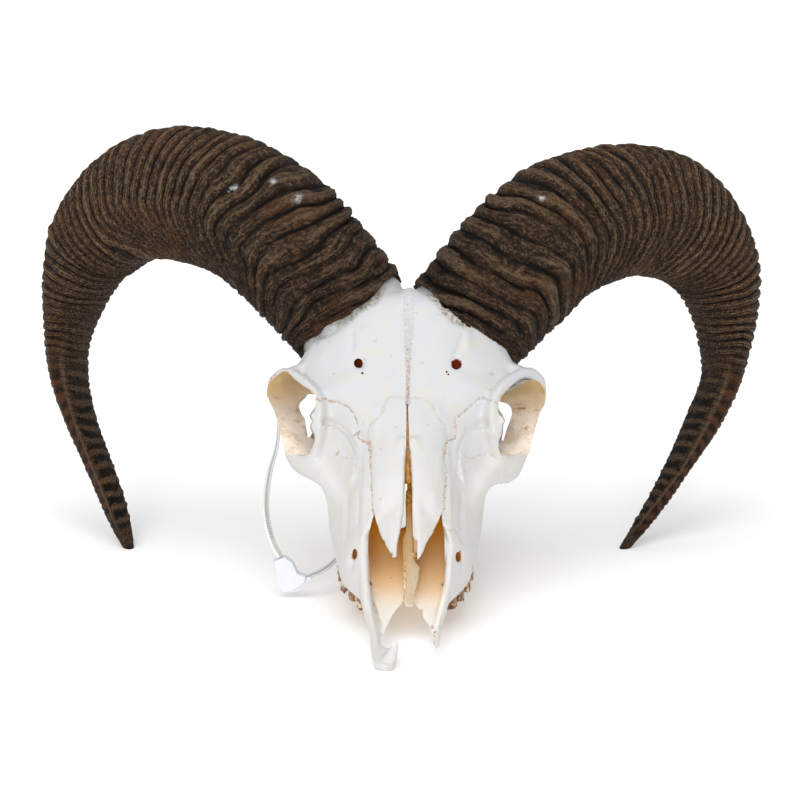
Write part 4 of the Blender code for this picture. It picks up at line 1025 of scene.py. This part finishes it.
def eyeSheet(name, rows, beyond, thick):
    # the smooth face of one bar as a solid; it goes the given pixels past the edge of the bone in front
    side = -1 if name == "left" else 1
    rows = smoothRun(rows, 3)
    rng = np.random.default_rng(21)
    columns = eyeSettings["columns"]
    points = []
    for outer, edge, down, *depths in rows:
        edge += rng.uniform(-0.5, 0.5) * (down < eyeSettings["frayedTo"]) - side * beyond
        full = np.abs(outer - edge) + (eyeSettings["past"] if beyond == 0 else 0)
        for share in np.linspace(0, 1, columns):
            across = outer + (edge - outer) * share
            depth = np.interp(abs(across - outer) / full, (0, 1 / 3, 2 / 3, 1), depths)
            spot, ray = pixelRay(across, down)
            points.append(spot + ray * ((depth - spot[1]) / ray[1]))
    return thicken(makeSheet("eyeSheet", columns, len(rows), np.array(points)), thick)


def combine(bone, form, operation):
    applyModifier(bone, "BOOLEAN", operation=operation, solver="MANIFOLD", object=form)
    bpy.data.objects.remove(form, do_unlink=True)


def cutOpenings(bone):
    # makes every opening, and tells how far from the camera each small hole starts
    tree = treeOf(bone)
    spot, forward, up = cameraPlace()
    above, holeAbove = boneSettings["cutAbove"], boneSettings["holeAbove"]
    distances = {}
    for name, rows in eyeFaces.items():
        combine(bone, eyeSheet(name, rows, 0.0, -eyeSettings["cleared"]), "DIFFERENCE")
        combine(bone, eyeSheet(name, rows, eyeSettings["past"], eyeSettings["skin"]), "UNION")
    for name, (front, back, pixels) in boneCuts.items():
        cutter = prismThrough(name, ragged(pixels, *boneSettings["fray"], 5), *flatPlanes(front, back))
        combine(bone, cutter, "DIFFERENCE")
    for name, (depth, reading, shape) in boneHollows.items():
        if reading is None:
            rows = []
            for left, down, right in shape:
                beside = right + 4 if name.endswith("Right") else left - 4
                rows.append((left, right, down, surfaceAt(tree, (beside, down)), 0))
            combine(bone, ribbonAlong(name, rows, -above, above + depth), "DIFFERENCE")
            continue
        distances[name] = surfaceAt(tree, reading)
        wide, tall, across, down = shape
        turn = np.linspace(0, fullTurn, boneSettings["holeCorners"], endpoint=False)
        pixels = [(across + wide * math.cos(t), down + tall * math.sin(t)) for t in turn]
        front, back = (spot + forward * (distances[name] + shift) for shift in (-holeAbove, depth))
        cutter = prismThrough(name, ragged(pixels, 9, 0, 1), (front, forward), (back, forward))
        combine(bone, cutter, "DIFFERENCE")
    return distances


def wallThickness(piece, limit):
    # how far it is from each vertex straight through the bone to the other side
    tree = treeOf(piece)
    points, normals = readVertices(piece), readNormals(piece)
    depth = np.full(len(points), limit)
    for number, (point, normal) in enumerate(zip(points, normals)):
        hit = tree.ray_cast(Vector(point - normal * 0.1), Vector(-normal), limit)
        if hit[3] is not None:
            depth[number] = hit[3]
    return depth


def castPixels(tree, pixels, steps=16):
    # points and normals where the camera sees the bone along a line of pixels
    spots, facing = [], []
    for across, down in smoothRun(pixels, steps):
        spot, ray = pixelRay(across, down)
        hit = tree.ray_cast(Vector(spot), Vector(ray))
        if len(spots) < 3 and spots and hit[0] is not None and (hit[0] - spots[-1]).length > 6:
            spots, facing = [], []
        if hit[0] is not None and (not spots or (hit[0] - spots[-1]).length < 6):
            spots.append(hit[0])
            facing.append(hit[1])
    return spots, facing


def lineOffsets(points, line, reach):
    # the signed distance of each vertex from a line on the bone, and how far along the line it is
    spots, facing = line
    offset = np.full(len(points), reach)
    along = np.zeros(len(points))
    if len(spots) < 3:
        print("a line misses the bone")
        return offset, along, 1.0
    places = np.array(spots)
    near = np.all((points > places.min(axis=0) - reach) & (points < places.max(axis=0) + reach), axis=1)
    tree = spotTree(spots)
    run = np.gradient(places, axis=0)
    run /= np.maximum(np.linalg.norm(run, axis=1, keepdims=True), 1e-6)
    length = pathLength(places)
    sides = np.cross(run, np.array(facing))
    for number in np.where(near)[0]:
        spot, index, distance = tree.find(Vector(points[number]))
        if distance < reach:
            side = (points[number] - places[index]) @ sides[index]
            offset[number] = math.copysign(distance, side)
            along[number] = length[index]
    return offset, along, length[-1]


def frontVertex(points, pixel):
    across, down = pixelOf(points)
    away = np.hypot(across - pixel[0], down - pixel[1])
    chosen = np.where(away < max(1.6, away.min() + 0.5))[0]
    return chosen[np.argmin(points[chosen, 1])]


def sculptBone(points, normals, tree, seamMarks, middle):
    lift = np.zeros(len(points))
    for drop, reach, pixels in boneSteps:
        offset, along, total = lineOffsets(points, castPixels(tree, pixels), 30)
        ends = between(along, 0, 9, total - 9, total)
        inside = offset > 0
        lift -= np.where(inside, drop * ends * np.exp(-offset / reach) * easeStep(0, 1.6, offset), 0)
        lift += np.where(~inside, 0.35 * ends * bell(offset, 1.6), 0)
    for height, wide, pixels in boneStrokes:
        offset, along, total = lineOffsets(points, castPixels(tree, pixels), wide * 3)
        lift += height * between(along, -1, 4, total - 4, total + 1) * bell(offset, wide)
    for pixel, reach, height in boneSwells:
        lift += height * bell(np.linalg.norm(points - points[frontVertex(points, pixel)], axis=1), reach)
    offset, strength, width = seamMarks
    rough = lumps(points, 0.9, 5)
    lift -= strength * 0.5 * bell(offset + 0.4 * lumps(points, 1.3, 9), width + 0.25)
    lift += strength * 0.14 * rough * bell(offset, 1.6)
    midOffset, midAlong, total = middle
    bandHalf = np.interp(midAlong, (0, 30, 50), (3.3, 2.8, 1.3))
    band = 1 - easeStep(bandHalf * 0.7, bandHalf * 1.25, np.abs(midOffset))
    lift += band * (0.3 * rough + 0.22 * lumps(points, 0.6, 6))
    lift += 0.3 * lumps(points, 22.0, 3) + 0.1 * lumps(points, 6.0, 4) + 0.04 * lumps(points, 1.8, 8)
    return points + normals * lift[:, None]


def markSeams(points, tree):
    # offset, strength and width of the nearest seam to each vertex
    reach = 6.0
    best, strength, width = np.full(len(points), reach), np.zeros(len(points)), np.full(len(points), 0.3)
    for name, (brown, half, pixels) in boneSeams.items():
        offset, along, total = lineOffsets(points, castPixels(tree, pixels), reach)
        closer = np.abs(offset) < np.abs(best)
        best = np.where(closer, offset, best)
        strength = np.where(closer, brown * (1 - easeStep(2.2, 3.6, np.abs(offset))), strength)
        width = np.where(closer, half, width)
    return best, strength, width


def insideOutline(across, down, pixels, soft):
    # 1 inside an outline on the photograph and 0 outside it, with a soft edge in pixels
    pixels = np.array(pixels, float)
    inside = np.zeros(len(across), bool)
    nearest = np.full(len(across), 1e9)
    for (x0, y0), (x1, y1) in zip(pixels, np.roll(pixels, -1, axis=0)):
        crossing = (y0 > down) != (y1 > down)
        inside ^= crossing & (across < (x1 - x0) * (down - y0) / (y1 - y0 + 1e-12) + x0)
        run = np.array([x1 - x0, y1 - y0])
        share = np.clip(((across - x0) * run[0] + (down - y0) * run[1]) / (run @ run), 0, 1)
        nearest = np.minimum(nearest, np.hypot(across - x0 - share * run[0], down - y0 - share * run[1]))
    signed = np.where(inside, nearest, -nearest)
    return easeStep(-soft, soft, signed)


def noseMarks(points, across, down):
    # where the inside of the nose, the board in it and the floor of the slit lie
    level = boneFromScene(points)
    x, y, z = np.abs(level[:, 0]), level[:, 1], level[:, 2]
    places, *columns = np.array(noseRoof).T
    middle, outer, half = (np.interp(y, places, column) for column in columns)
    roof = middle + (outer - middle) * np.clip(x / half, 0, 1.2)
    inside = insideOutline(across, down, noseOpening, 0.8)
    inside *= 1 - easeStep(*maskSettings["underRoof"], z - roof)
    inside *= 1 - easeStep(*maskSettings["noseBack"], y)
    height, start, slope = maskSettings["boardPlane"]
    board = 1 - easeStep(*maskSettings["boardSide"], np.abs(level[:, 0] - maskSettings["boardMiddle"]))
    board *= 1 - easeStep(*maskSettings["boardPast"], height + (y - start) * slope - z)
    slit = (1 - easeStep(*maskSettings["slitSide"], x)) * between(y, *maskSettings["slitAlong"])
    slit *= easeStep(*maskSettings["slitFloor"], z - roof)
    slit *= 1 - easeStep(*maskSettings["slitTop"], z - middle)
    return {"noseInside": inside, "septum": inside * board, "slit": slit}


def eyeMark(points, across, down):
    within = np.zeros(len(points))
    for side, rows in eyeFaces.items():
        past = maskSettings["eyePast"] * (-1 if side == "left" else 1)
        pixels = [(row[0] + past, row[2]) for row in rows] + [(row[1], row[2]) for row in rows[::-1]]
        within = np.maximum(within, insideOutline(across, down, pixels, 0.5))
    front = easeStep(*maskSettings["eyeFront"], points[:, 1] + np.interp(down, (430, 456), (0, 4)))
    within *= front * (points[:, 1] < maskSettings["eyeBack"])
    return within * (1 - easeStep(*maskSettings["eyeEnd"], down))


def holeMarks(points, across, down, distances):
    spot, forward, up = cameraPlace()
    away = (points - spot) @ forward
    hole, orange = np.zeros(len(points)), np.zeros(len(points))
    for name, start in distances.items():
        depth, reading, (wide, tall, middle, level) = boneHollows[name]
        round01 = np.hypot((across - middle) / (wide + 0.5), (down - level) / (tall + 0.5))
        inHole = (round01 < 1.1) * easeStep(0.2, 0.7, away - start) * (away < start + depth + 2)
        hole = np.maximum(hole, inHole)
        orange = np.where((round01 < 1.3) & name.startswith("face"), 1.0, orange)
    return {"hole": hole, "orangeHole": orange}


def speckAndGapShadeMark(points, across, down, tree):
    specks = np.zeros(len(points))
    for pixel, size in boneSpecks:
        hit = castPixels(tree, [pixel, pixel], 1)[0]
        if hit:
            distance = np.linalg.norm(points - np.array(hit[0]), axis=1)
            specks = np.maximum(specks, 1 - easeStep(size * 0.45, size * 1.1, distance))
    # The eye fill plates are painted dark brown behind the front, a painted shade for the gap below the eye
    # holes.
    for name in ("eyeFillLeft", "eyeFillRight"):
        paintedGapShade = insideOutline(across, down, bonePlates[name][2], 0.5) * (points[:, 1] > 0)
        specks = np.maximum(specks, 0.75 * paintedGapShade)
    return specks


def rimMark(points):
    # the stained rim of bone beside the sheaths' edges
    rim = np.zeros(len(points))
    for ring in lipRings.values():
        lip = spotTree(ring)
        near = np.where(np.linalg.norm(points - ring.mean(axis=0), axis=1) < 42)[0]
        wander = 0.9 * lumps(points[near], 2.2, 31) + 0.5 * lumps(points[near], 6, 33)
        for number, shift in zip(near, wander):
            distance = lip.find(Vector(points[number]))[2]
            rim[number] = max(rim[number], 1 - easeStep(*boneSettings["rimReach"], distance + shift))
    return rim


def paintBone(bone, tree, distances):
    points = readVertices(bone)
    across, down = pixelOf(points)
    offset, strength, width = markSeams(points, tree)
    midOffset, midAlong, total = lineOffsets(points, castPixels(tree, boneMidline), 9.0)
    paint(bone, seam=np.clip(offset, -6, 6), seamStrength=strength, seamWidth=width)
    noseStart, noseLong, eyeStart, eyeLong = maskSettings["down"]
    paint(bone, midline=np.abs(midOffset), midAlong=midAlong, noseDown=(down - noseStart) / noseLong)
    paint(bone, eyeSocket=eyeMark(points, across, down), eyeDown=np.clip((down - eyeStart) / eyeLong, 0, 1))
    paint(bone, **noseMarks(points, across, down), **holeMarks(points, across, down, distances))
    paint(bone, specks=speckAndGapShadeMark(points, across, down, tree), hornRim=rimMark(points))


def makeBone():
    bone = copyOfNode("cranium", "skull_bone")
    addForms(bone)
    applyModifier(bone, "REMESH", mode="VOXEL", voxel_size=boneSettings["voxel"] * mm)
    depth = wallThickness(bone, boneSettings["wallSeen"])
    group = bone.vertex_groups.new(name="broad")
    share = np.round(easeStep(boneSettings["thickFrom"], boneSettings["thickTo"], depth), 2)
    for value in np.unique(share[share > 0]):
        group.add([int(number) for number in np.where(share == value)[0]], float(value), "REPLACE")
    applyModifier(bone, "SMOOTH", factor=0.5, iterations=boneSettings["broadRounds"], vertex_group="broad")
    applyModifier(bone, "SMOOTH", factor=0.5, iterations=boneSettings["thinRounds"])
    bone.vertex_groups.clear()
    print("bone smoothed", len(bone.data.polygons))
    tree = treeOf(bone)
    points, normals = readVertices(bone), readNormals(bone)
    seamMarks = markSeams(points, tree)
    middle = lineOffsets(points, castPixels(tree, boneMidline), 9.0)
    writeVertices(bone, sculptBone(points, normals, tree, seamMarks, middle))
    print("bone sculpted")
    distances = cutOpenings(bone)
    print("bone cut", len(bone.data.polygons))
    thinOut(bone, boneSettings["triangles"])
    print("bone thinned out", len(bone.data.polygons))
    makeActive(bone)
    bpy.ops.object.shade_smooth_by_angle(angle=math.radians(50))
    paintBone(bone, treeOf(bone), distances)
    return bone


def boneSurface(tree, place, fine):
    # the bleached bone with the tints of the eye sockets, the nose and the holes
    cloud = placeGroup(mottleGroup, Vector=place, Scale=45.0, Contrast=1.0)
    patch = placeGroup(mottleGroup, Vector=place, Scale=120.0, Contrast=2.2)
    # The bone higher up is painted darker and bluer, a painted shade that offsets the stronger light on the
    # forehead.
    high = ramp(addNode(tree, "ShaderNodeSeparateXYZ", Vector=place).outputs[2], 0.05, 0.105)
    topShadedBone = blendColour(high, (0.63, 0.625, 0.618), (0.54, 0.55, 0.575))
    colour = blendColour(cloud, topShadedBone, blendColour(high, (0.62, 0.605, 0.575), (0.555, 0.555, 0.555)))
    colour = blendColour(times(ramp(patch, 0.62, 0.95), 0.35), colour, (0.62, 0.57, 0.48))
    # The tan of the eye sockets is painted darker brown towards the top, a painted shade under the brow, and
    # paler lower down.
    eyeDown = ramp(attribute(tree, "eyeDown"), 0.12, 0.62)
    socket = blendColour(eyeDown, (0.54, 0.36, 0.163), (0.86, 0.74, 0.63))
    socket = blendColour(times(ramp(patch, 0.55, 0.85), 0.4), socket, (0.55, 0.38, 0.17))
    # Inside the nose, the stain's orange and the board's brown are painted deeper towards the top, a painted
    # shade under the nasal bones, and paler lower down.
    noseDown = attribute(tree, "noseDown")
    nose = blendColour(ramp(noseDown, 0.0, 0.5), (1.0, 0.44, 0.0), (0.97, 0.66, 0.34))
    nose = blendColour(ramp(noseDown, 0.45, 0.85), nose, (0.8, 0.76, 0.69))
    board = blendColour(ramp(noseDown, -0.15, 0.22), (0.42, 0.19, 0.035), (0.56, 0.38, 0.2))
    board = blendColour(ramp(noseDown, 0.2, 0.62), board, (0.56, 0.45, 0.32))
    board = blendColour(ramp(fine, 0.5, 0.75, 0.0, 0.35), board, (0.4, 0.2, 0.05))
    tissue = blendColour(ramp(fine, 0.35, 0.65), (0.27, 0.105, 0.008), (0.58, 0.28, 0.05))
    hole = blendColour(attribute(tree, "orangeHole"), (0.19, 0.035, 0.01), (0.55, 0.22, 0.04))
    tints = {"eyeSocket": socket, "noseInside": nose, "septum": board, "slit": tissue, "hole": hole}
    for name, tint in tints.items():
        colour = blendColour(attribute(tree, name), colour, tint)
    return colour


def seamLine(tree, place, fine):
    # how much of each point is the brown of a seam
    seam, strength, width = (attribute(tree, name) for name in ("seam", "seamStrength", "seamWidth"))
    wiggle = timesPlus(minus(fine, 0.5), 2.2, seam)
    wiggle = timesPlus(minus(noise(place, 1500.0, 2.0), 0.5), 0.9, wiggle)
    line = times(ramp(minus(calculate("ABSOLUTE", wiggle), width), -0.1, 0.2, 1.0, 0.0), strength)
    line = times(line, ramp(noise(place, 240.0), 0.3, 0.55, 0.3, 1.0))
    line = times(line, ramp(noise(place, 1100.0), 0.42, 0.56, 0.1, 1.0))
    pits = placeGroup(poreGroup, Vector=place, Scale=950.0, Amount=0.5)
    pitShare = times(times(pits, ramp(calculate("ABSOLUTE", seam), 0.5, 1.8, 1.0, 0.0)), strength)
    return calculate("MAXIMUM", line, times(pitShare, 0.7))


def makeBoneMaterial():
    material, tree, shader = newMaterial("bleachedBone")
    place = addNode(tree, "ShaderNodeTexCoord").outputs["Object"]
    fine = noise(place, 620.0, 3.0)
    seamShare = seamLine(tree, place, fine)
    colour = blendColour(seamShare, boneSurface(tree, place, fine), (0.38, 0.18, 0.03))
    # the seam down the forehead: curls and pits, browner towards the nose
    middle, along = attribute(tree, "midline"), attribute(tree, "midAlong")
    bandHalf = ramp(along, 14.0, 50.0, 3.0, 1.1)
    band = ramp(calculate("ABSOLUTE", middle), times(bandHalf, 0.75), bandHalf, 1.0, 0.0)
    band = times(band, ramp(along, 0.4, 2.0))
    curls = calculate("ABSOLUTE", minus(noise(place, 900.0, 2.0, 0.5, 1.6), 0.5))
    curlShare = times(times(ramp(curls, 0.015, 0.06, 1.0, 0.0), band), ramp(along, 15.0, 60.0, 0.1, 1.0))
    curlTint = blendColour(ramp(along, 26.0, 52.0), (0.46, 0.4, 0.34), (0.32, 0.13, 0.025))
    colour = blendColour(curlShare, colour, curlTint)
    midPits = placeGroup(poreGroup, Vector=place, Scale=760.0, Amount=ramp(along, 30.0, 65.0, 0.3, 0.75))
    midShare = times(times(midPits, band), ramp(along, 0.0, 50.0, 0.4, 1.0))
    colour = blendColour(midShare, colour, (0.34, 0.16, 0.05))
    pores = placeGroup(poreGroup, Vector=place, Scale=420.0, Amount=0.05)
    colour = blendColour(times(pores, 0.5), colour, (0.5, 0.36, 0.22))
    # Brown specks, and the painted gap shade on the eye fill plates.
    colour = blendColour(attribute(tree, "specks"), colour, (0.27, 0.11, 0.03))
    rim = times(attribute(tree, "hornRim"), ramp(noise(place, 500.0, 4.0), 0.32, 0.6, 0.25, 1.0))
    rimTint = blendColour(ramp(noise(place, 700.0, 4.0, 0.7), 0.42, 0.6), (0.12, 0.1, 0.06), (0.42, 0.4, 0.3))
    colour = blendColour(times(rim, 0.8), colour, rimTint)
    sunk = calculate("MAXIMUM", attribute(tree, "hole"), times(attribute(tree, "noseInside"), 0.8))
    tree.links.new(ramp(sunk, 0.1, 0.9, 0.5, 0.0), shader.inputs["Specular IOR Level"])
    height = timesPlus(fine, 0.25, times(seamShare, -0.8))
    for share, depth in ((curlShare, -1.4), (midShare, -0.9), (pores, -0.5)):
        height = timesPlus(share, depth, height)
    finishMaterial(shader, colour, 0.38, (0.5, 0.0004, height))
    return material


def dressBone():
    bone = makeBone()
    bone.data.materials.clear()
    bone.data.materials.append(makeBoneMaterial())
    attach(bone, "root")
    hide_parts("cranium")


# The cheek teeth

toothSettings = {
    "voxel": 0.34,
    "crownHeight": 8.5,
    "shorten": 0.12,                         # share of the crown that is worn away
    "lumps": 0.38,
    "triangles": 7000,
}


def crownShare(points):
    # 1 at the chewing end and 0 at the roots
    z = boneFromScene(points)[:, 2]
    return 1 - np.clip((z - z.min()) / toothSettings["crownHeight"], 0, 1)


def makeTooth(name, seed):
    tooth = copyOfNode(name, "worn_" + name)
    remesh(tooth, toothSettings["voxel"], 5)
    points, normals = readVertices(tooth), readNormals(tooth)
    crown = crownShare(points)
    y = boneFromScene(points)[:, 1]
    flute = np.cos((y - y.mean()) / np.ptp(y) * 4 * math.pi) ** 2
    lift = toothSettings["lumps"] * lumps(points, 1.5, seed) + 0.5 * lumps(points, 3.2, seed + 1)
    lift -= 0.5 * flute
    points = points + normals * (crown * lift)[:, None]
    wear = toothSettings["crownHeight"] * toothSettings["shorten"] + 0.9 * lumps(points, 2.6, seed + 2)
    points[:, 2] += crown ** 2 * wear
    writeVertices(tooth, points)
    thinOut(tooth, toothSettings["triangles"])
    makeActive(tooth)
    bpy.ops.object.shade_smooth()
    paint(tooth, crown=crownShare(readVertices(tooth)))
    return tooth


def makeToothMaterial():
    material, tree, shader = newMaterial("stainedTooth")
    place = addNode(tree, "ShaderNodeTexCoord").outputs["Object"]
    stain = noise(place, 330.0, 3.0)
    streaks = noise(stretched(place, (700, 700, 160)), 1.0, 3.0)
    colour = blendColour(ramp(streaks, 0.35, 0.62), (0.055, 0.016, 0.006), (0.3, 0.12, 0.035))
    colour = blendColour(ramp(stain, 0.54, 0.62), colour, (0.66, 0.55, 0.38))
    edge = times(ramp(attribute(tree, "crown"), 0.84, 0.97), ramp(streaks, 0.3, 0.5))
    colour = blendColour(edge, colour, (0.7, 0.64, 0.52))
    finishMaterial(shader, colour, 0.32, (0.6, 0.0005, timesPlus(streaks, 0.6, stain)))
    return material


def makeTeeth():
    material = makeToothMaterial()
    for side in ("left", "right"):
        for number in range(1, 7):
            node = "tooth_" + side + "_" + str(number)
            tooth = makeTooth(node, 60 + number * 3 + (20 if side == "left" else 0))
            tooth.data.materials.clear()
            tooth.data.materials.append(material)
            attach(tooth, "root")
            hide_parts(node)
    print("teeth made")


# The seal

sealSettings = {
    "route": [(-59.4, 111, 20.2), (-62.4, 114, 25), (-65.2, 121, 33), (-66, 129, 42), (-64.6, 138, 52),
        (-61.8, 146, 61), (-60.8, 153, 69), (-61.2, 158.4, 77), (-61.2, 162.4, 85), (-58.8, 164.8, 90.8),
        (-53.4, 165.4, 93.6), (-48.4, 164.8, 92.4), (-46.4, 164.4, 88), (-48.4, 164, 83.4),
        (-52, 163.2, 79.4), (-54, 162, 74.6), (-52.4, 160, 68.6), (-46.6, 157.6, 62), (-41, 154, 53),
        (-36, 148, 41.5), (-31.6, 139, 29.4), (-30.6, 131, 20.4), (-33.4, 123, 14.6), (-39.2, 115.6, 11.4),
        (-46.2, 110.4, 9.6)],
    "loopAxis": (0, 0.83, -0.56),
    "width": 3.4,
    "thickness": 1.1,
    "twistEnd": 0.36,
    "tailTwist": math.radians(-48),          # how far the tail turns to face up where it leaves the head
    "reach": 1.6,                            # how far each end runs into the head
    # the strap's section: across and through, as shares of its half sizes
    "section": [(1, 0.6), (0.9, 1), (0.2, 1), (0.1, 0.55), (-0.2, 0.55), (-0.5, 0.55), (-0.8, 0.55),
        (-0.86, 1), (-0.94, 1), (-1, 0.6), (-1, -0.6), (-0.94, -1), (-0.86, -1), (-0.8, -0.55),
        (-0.5, -0.55), (-0.2, -0.55), (0.1, -0.55), (0.2, -1), (0.9, -1), (1, -0.6)],
    "ribPitch": 1.5,
    "ribs": (8.0, 36.0),                     # the toothed stretch, from the head
    "rings": 900,
    "headVoxel": 0.3,
    "headTail": [(290, 592.6), (297.4, 592), (304.6, 586.6), (313, 579.6), (310.4, 576.4), (304, 577.8),
        (298, 574)],
}


def makeStrap():
    rows = smoothRun(sealSettings["route"], 36)
    for end, beside in ((0, 1), (-1, -2)):
        away = rows[end] - rows[beside]
        rows[end] += away / np.linalg.norm(away) * sealSettings["reach"]
    length, rings = pathLength(rows), sealSettings["rings"]
    places = np.linspace(0, length[-1], rings)
    centre = np.stack([np.interp(places, length, rows[:, k]) for k in range(3)], axis=-1)
    run = unit(np.gradient(centre, axis=0))
    loopAxis = np.array(sealSettings["loopAxis"])
    axis = unit(loopAxis - run * (run @ loopAxis)[:, None])
    share = places / length[-1]
    twist = np.clip(1 - share / sealSettings["twistEnd"], 0, 1) * math.pi / 2
    twist = twist + sealSettings["tailTwist"] * easeStep(0.8, 0.97, share)
    across = axis * np.cos(twist)[:, None] + np.cross(run, axis) * np.sin(twist)[:, None]
    through = np.cross(run, across)
    section = np.array(sealSettings["section"] + sealSettings["section"][:1])
    rib = np.clip(np.sin(places / sealSettings["ribPitch"] * fullTurn) * 2, -0.4, 1)
    first, last = sealSettings["ribs"]
    rib = rib * between(places, first, first + 2, last - 2, last)
    inChannel = np.abs(section[:, 1]) < 0.58
    deep = section[:, 1] + 0.75 * np.sign(section[:, 1]) * rib[:, None] * inChannel
    wide = np.broadcast_to(section[:, 0] * sealSettings["width"] / 2, deep.shape)
    points = centre[:, None] + wide[..., None] * across[:, None]
    points += (deep * sealSettings["thickness"] / 2)[..., None] * through[:, None]
    strap = makeSheet("toothed_strap", len(section), rings, sceneFromStanding(points.reshape(-1, 3)))
    paint(strap, channel=np.broadcast_to(inChannel, (rings, len(section))))
    editAll(strap)
    bpy.ops.mesh.remove_doubles(threshold=sameSpot / 2)
    bpy.ops.mesh.select_all(action="SELECT")
    bpy.ops.mesh.fill_holes(sides=0)
    faceOutwards(strap)
    bpy.ops.object.shade_smooth_by_angle(angle=math.radians(40))
    return strap


def makeSealHead():
    head = copyOfNode("seal_head", "locking_head")
    front = readVertices(head)[:, 1].min()
    tail = prismThrough("headTail", sealSettings["headTail"], *flatPlanes(front + 1.2, front + 4.6))
    makeActive(head)
    tail.select_set(True)
    bpy.ops.object.join()
    remesh(head, sealSettings["headVoxel"], 7)
    makeActive(head)
    bpy.ops.object.shade_smooth()
    paint(head, channel=np.zeros(len(head.data.vertices)))
    return head


def makeSealMaterial():
    material, tree, shader = newMaterial("whitePlastic")
    place = addNode(tree, "ShaderNodeTexCoord").outputs["Object"]
    cloud = placeGroup(mottleGroup, Vector=place, Scale=140.0, Contrast=1.0)
    colour = blendColour(cloud, (0.66, 0.69, 0.73), (0.72, 0.74, 0.77))
    # The strap's channel is painted grey, a painted shade for its flat face that is seen side-on.
    colour = blendColour(attribute(tree, "channel"), colour, (0.42, 0.41, 0.37))
    finishMaterial(shader, colour, 0.33)
    return material


def makeSeal():
    material = makeSealMaterial()
    for piece, node in ((makeStrap(), "seal_strap"), (makeSealHead(), "seal_head")):
        piece.data.materials.clear()
        piece.data.materials.append(material)
        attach(piece, "root")
        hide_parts(node)
    print("seal made")


# Camera, floor and lights

def makeCamera():
    spot, forward, up = cameraPlace()
    camera = bpy.data.objects.new("camera", bpy.data.cameras.new("camera"))
    bpy.context.scene.collection.objects.link(camera)
    camera.location = Vector(spot) * mm
    camera.rotation_euler = (math.pi / 2 - cameraSettings["elevation"], 0, 0)
    frameWidth = cameraSettings["mmPerPixel"] * cameraSettings["imageSize"]
    camera.data.sensor_width = cameraSettings["sensor"]
    camera.data.lens = cameraSettings["sensor"] * cameraSettings["distance"] / frameWidth
    camera.data.clip_end = 50
    bpy.context.scene.camera = camera


studioSettings = {
    "floorSize": 14.0,
    "floorColour": (0.95, 0.95, 0.95),
    "floorGlow": 0.14,
    "worldStrength": 0.6,
    # strength, how soft the shadows are, turn
    "suns": [(1.3, math.radians(60), (math.radians(20), math.radians(-8), 0)),
             (1.15, math.radians(20), (math.radians(77), 0, math.radians(-5)))],
}


def makeStudio():
    bpy.ops.object.select_all(action="DESELECT")
    bpy.ops.mesh.primitive_plane_add(size=studioSettings["floorSize"], location=(0, 3, 0))
    floor = bpy.context.active_object
    floor.name = "floor"
    bpy.ops.object.transform_apply(location=True, rotation=True, scale=True)
    material, tree, shader = newMaterial("paleFloor")
    shader.inputs["Base Color"].default_value = (*studioSettings["floorColour"], 1)
    shader.inputs["Roughness"].default_value = 0.9
    shader.inputs["Specular IOR Level"].default_value = 0.1
    shader.inputs["Emission Color"].default_value = (1, 1, 1, 1)
    shader.inputs["Emission Strength"].default_value = studioSettings["floorGlow"]
    floor.data.materials.append(material)
    world = bpy.data.worlds.new("studio")
    bpy.context.scene.world = world
    world.use_nodes = True
    back = world.node_tree.nodes["Background"]
    back.inputs["Color"].default_value = (1, 1, 1, 1)
    back.inputs["Strength"].default_value = studioSettings["worldStrength"]
    for strength, soft, turn in studioSettings["suns"]:
        sun = bpy.data.objects.new("softSun", bpy.data.lights.new("softSun", "SUN"))
        bpy.context.scene.collection.objects.link(sun)
        sun.data.energy = strength
        sun.data.angle = soft
        sun.rotation_euler = turn


makeCamera()
makeStudio()
makeHorns()
dressBone()
makeTeeth()
makeSeal()
bpy.context.scene.view_settings.view_transform = "Standard"

bpy.context.view_layer.update()
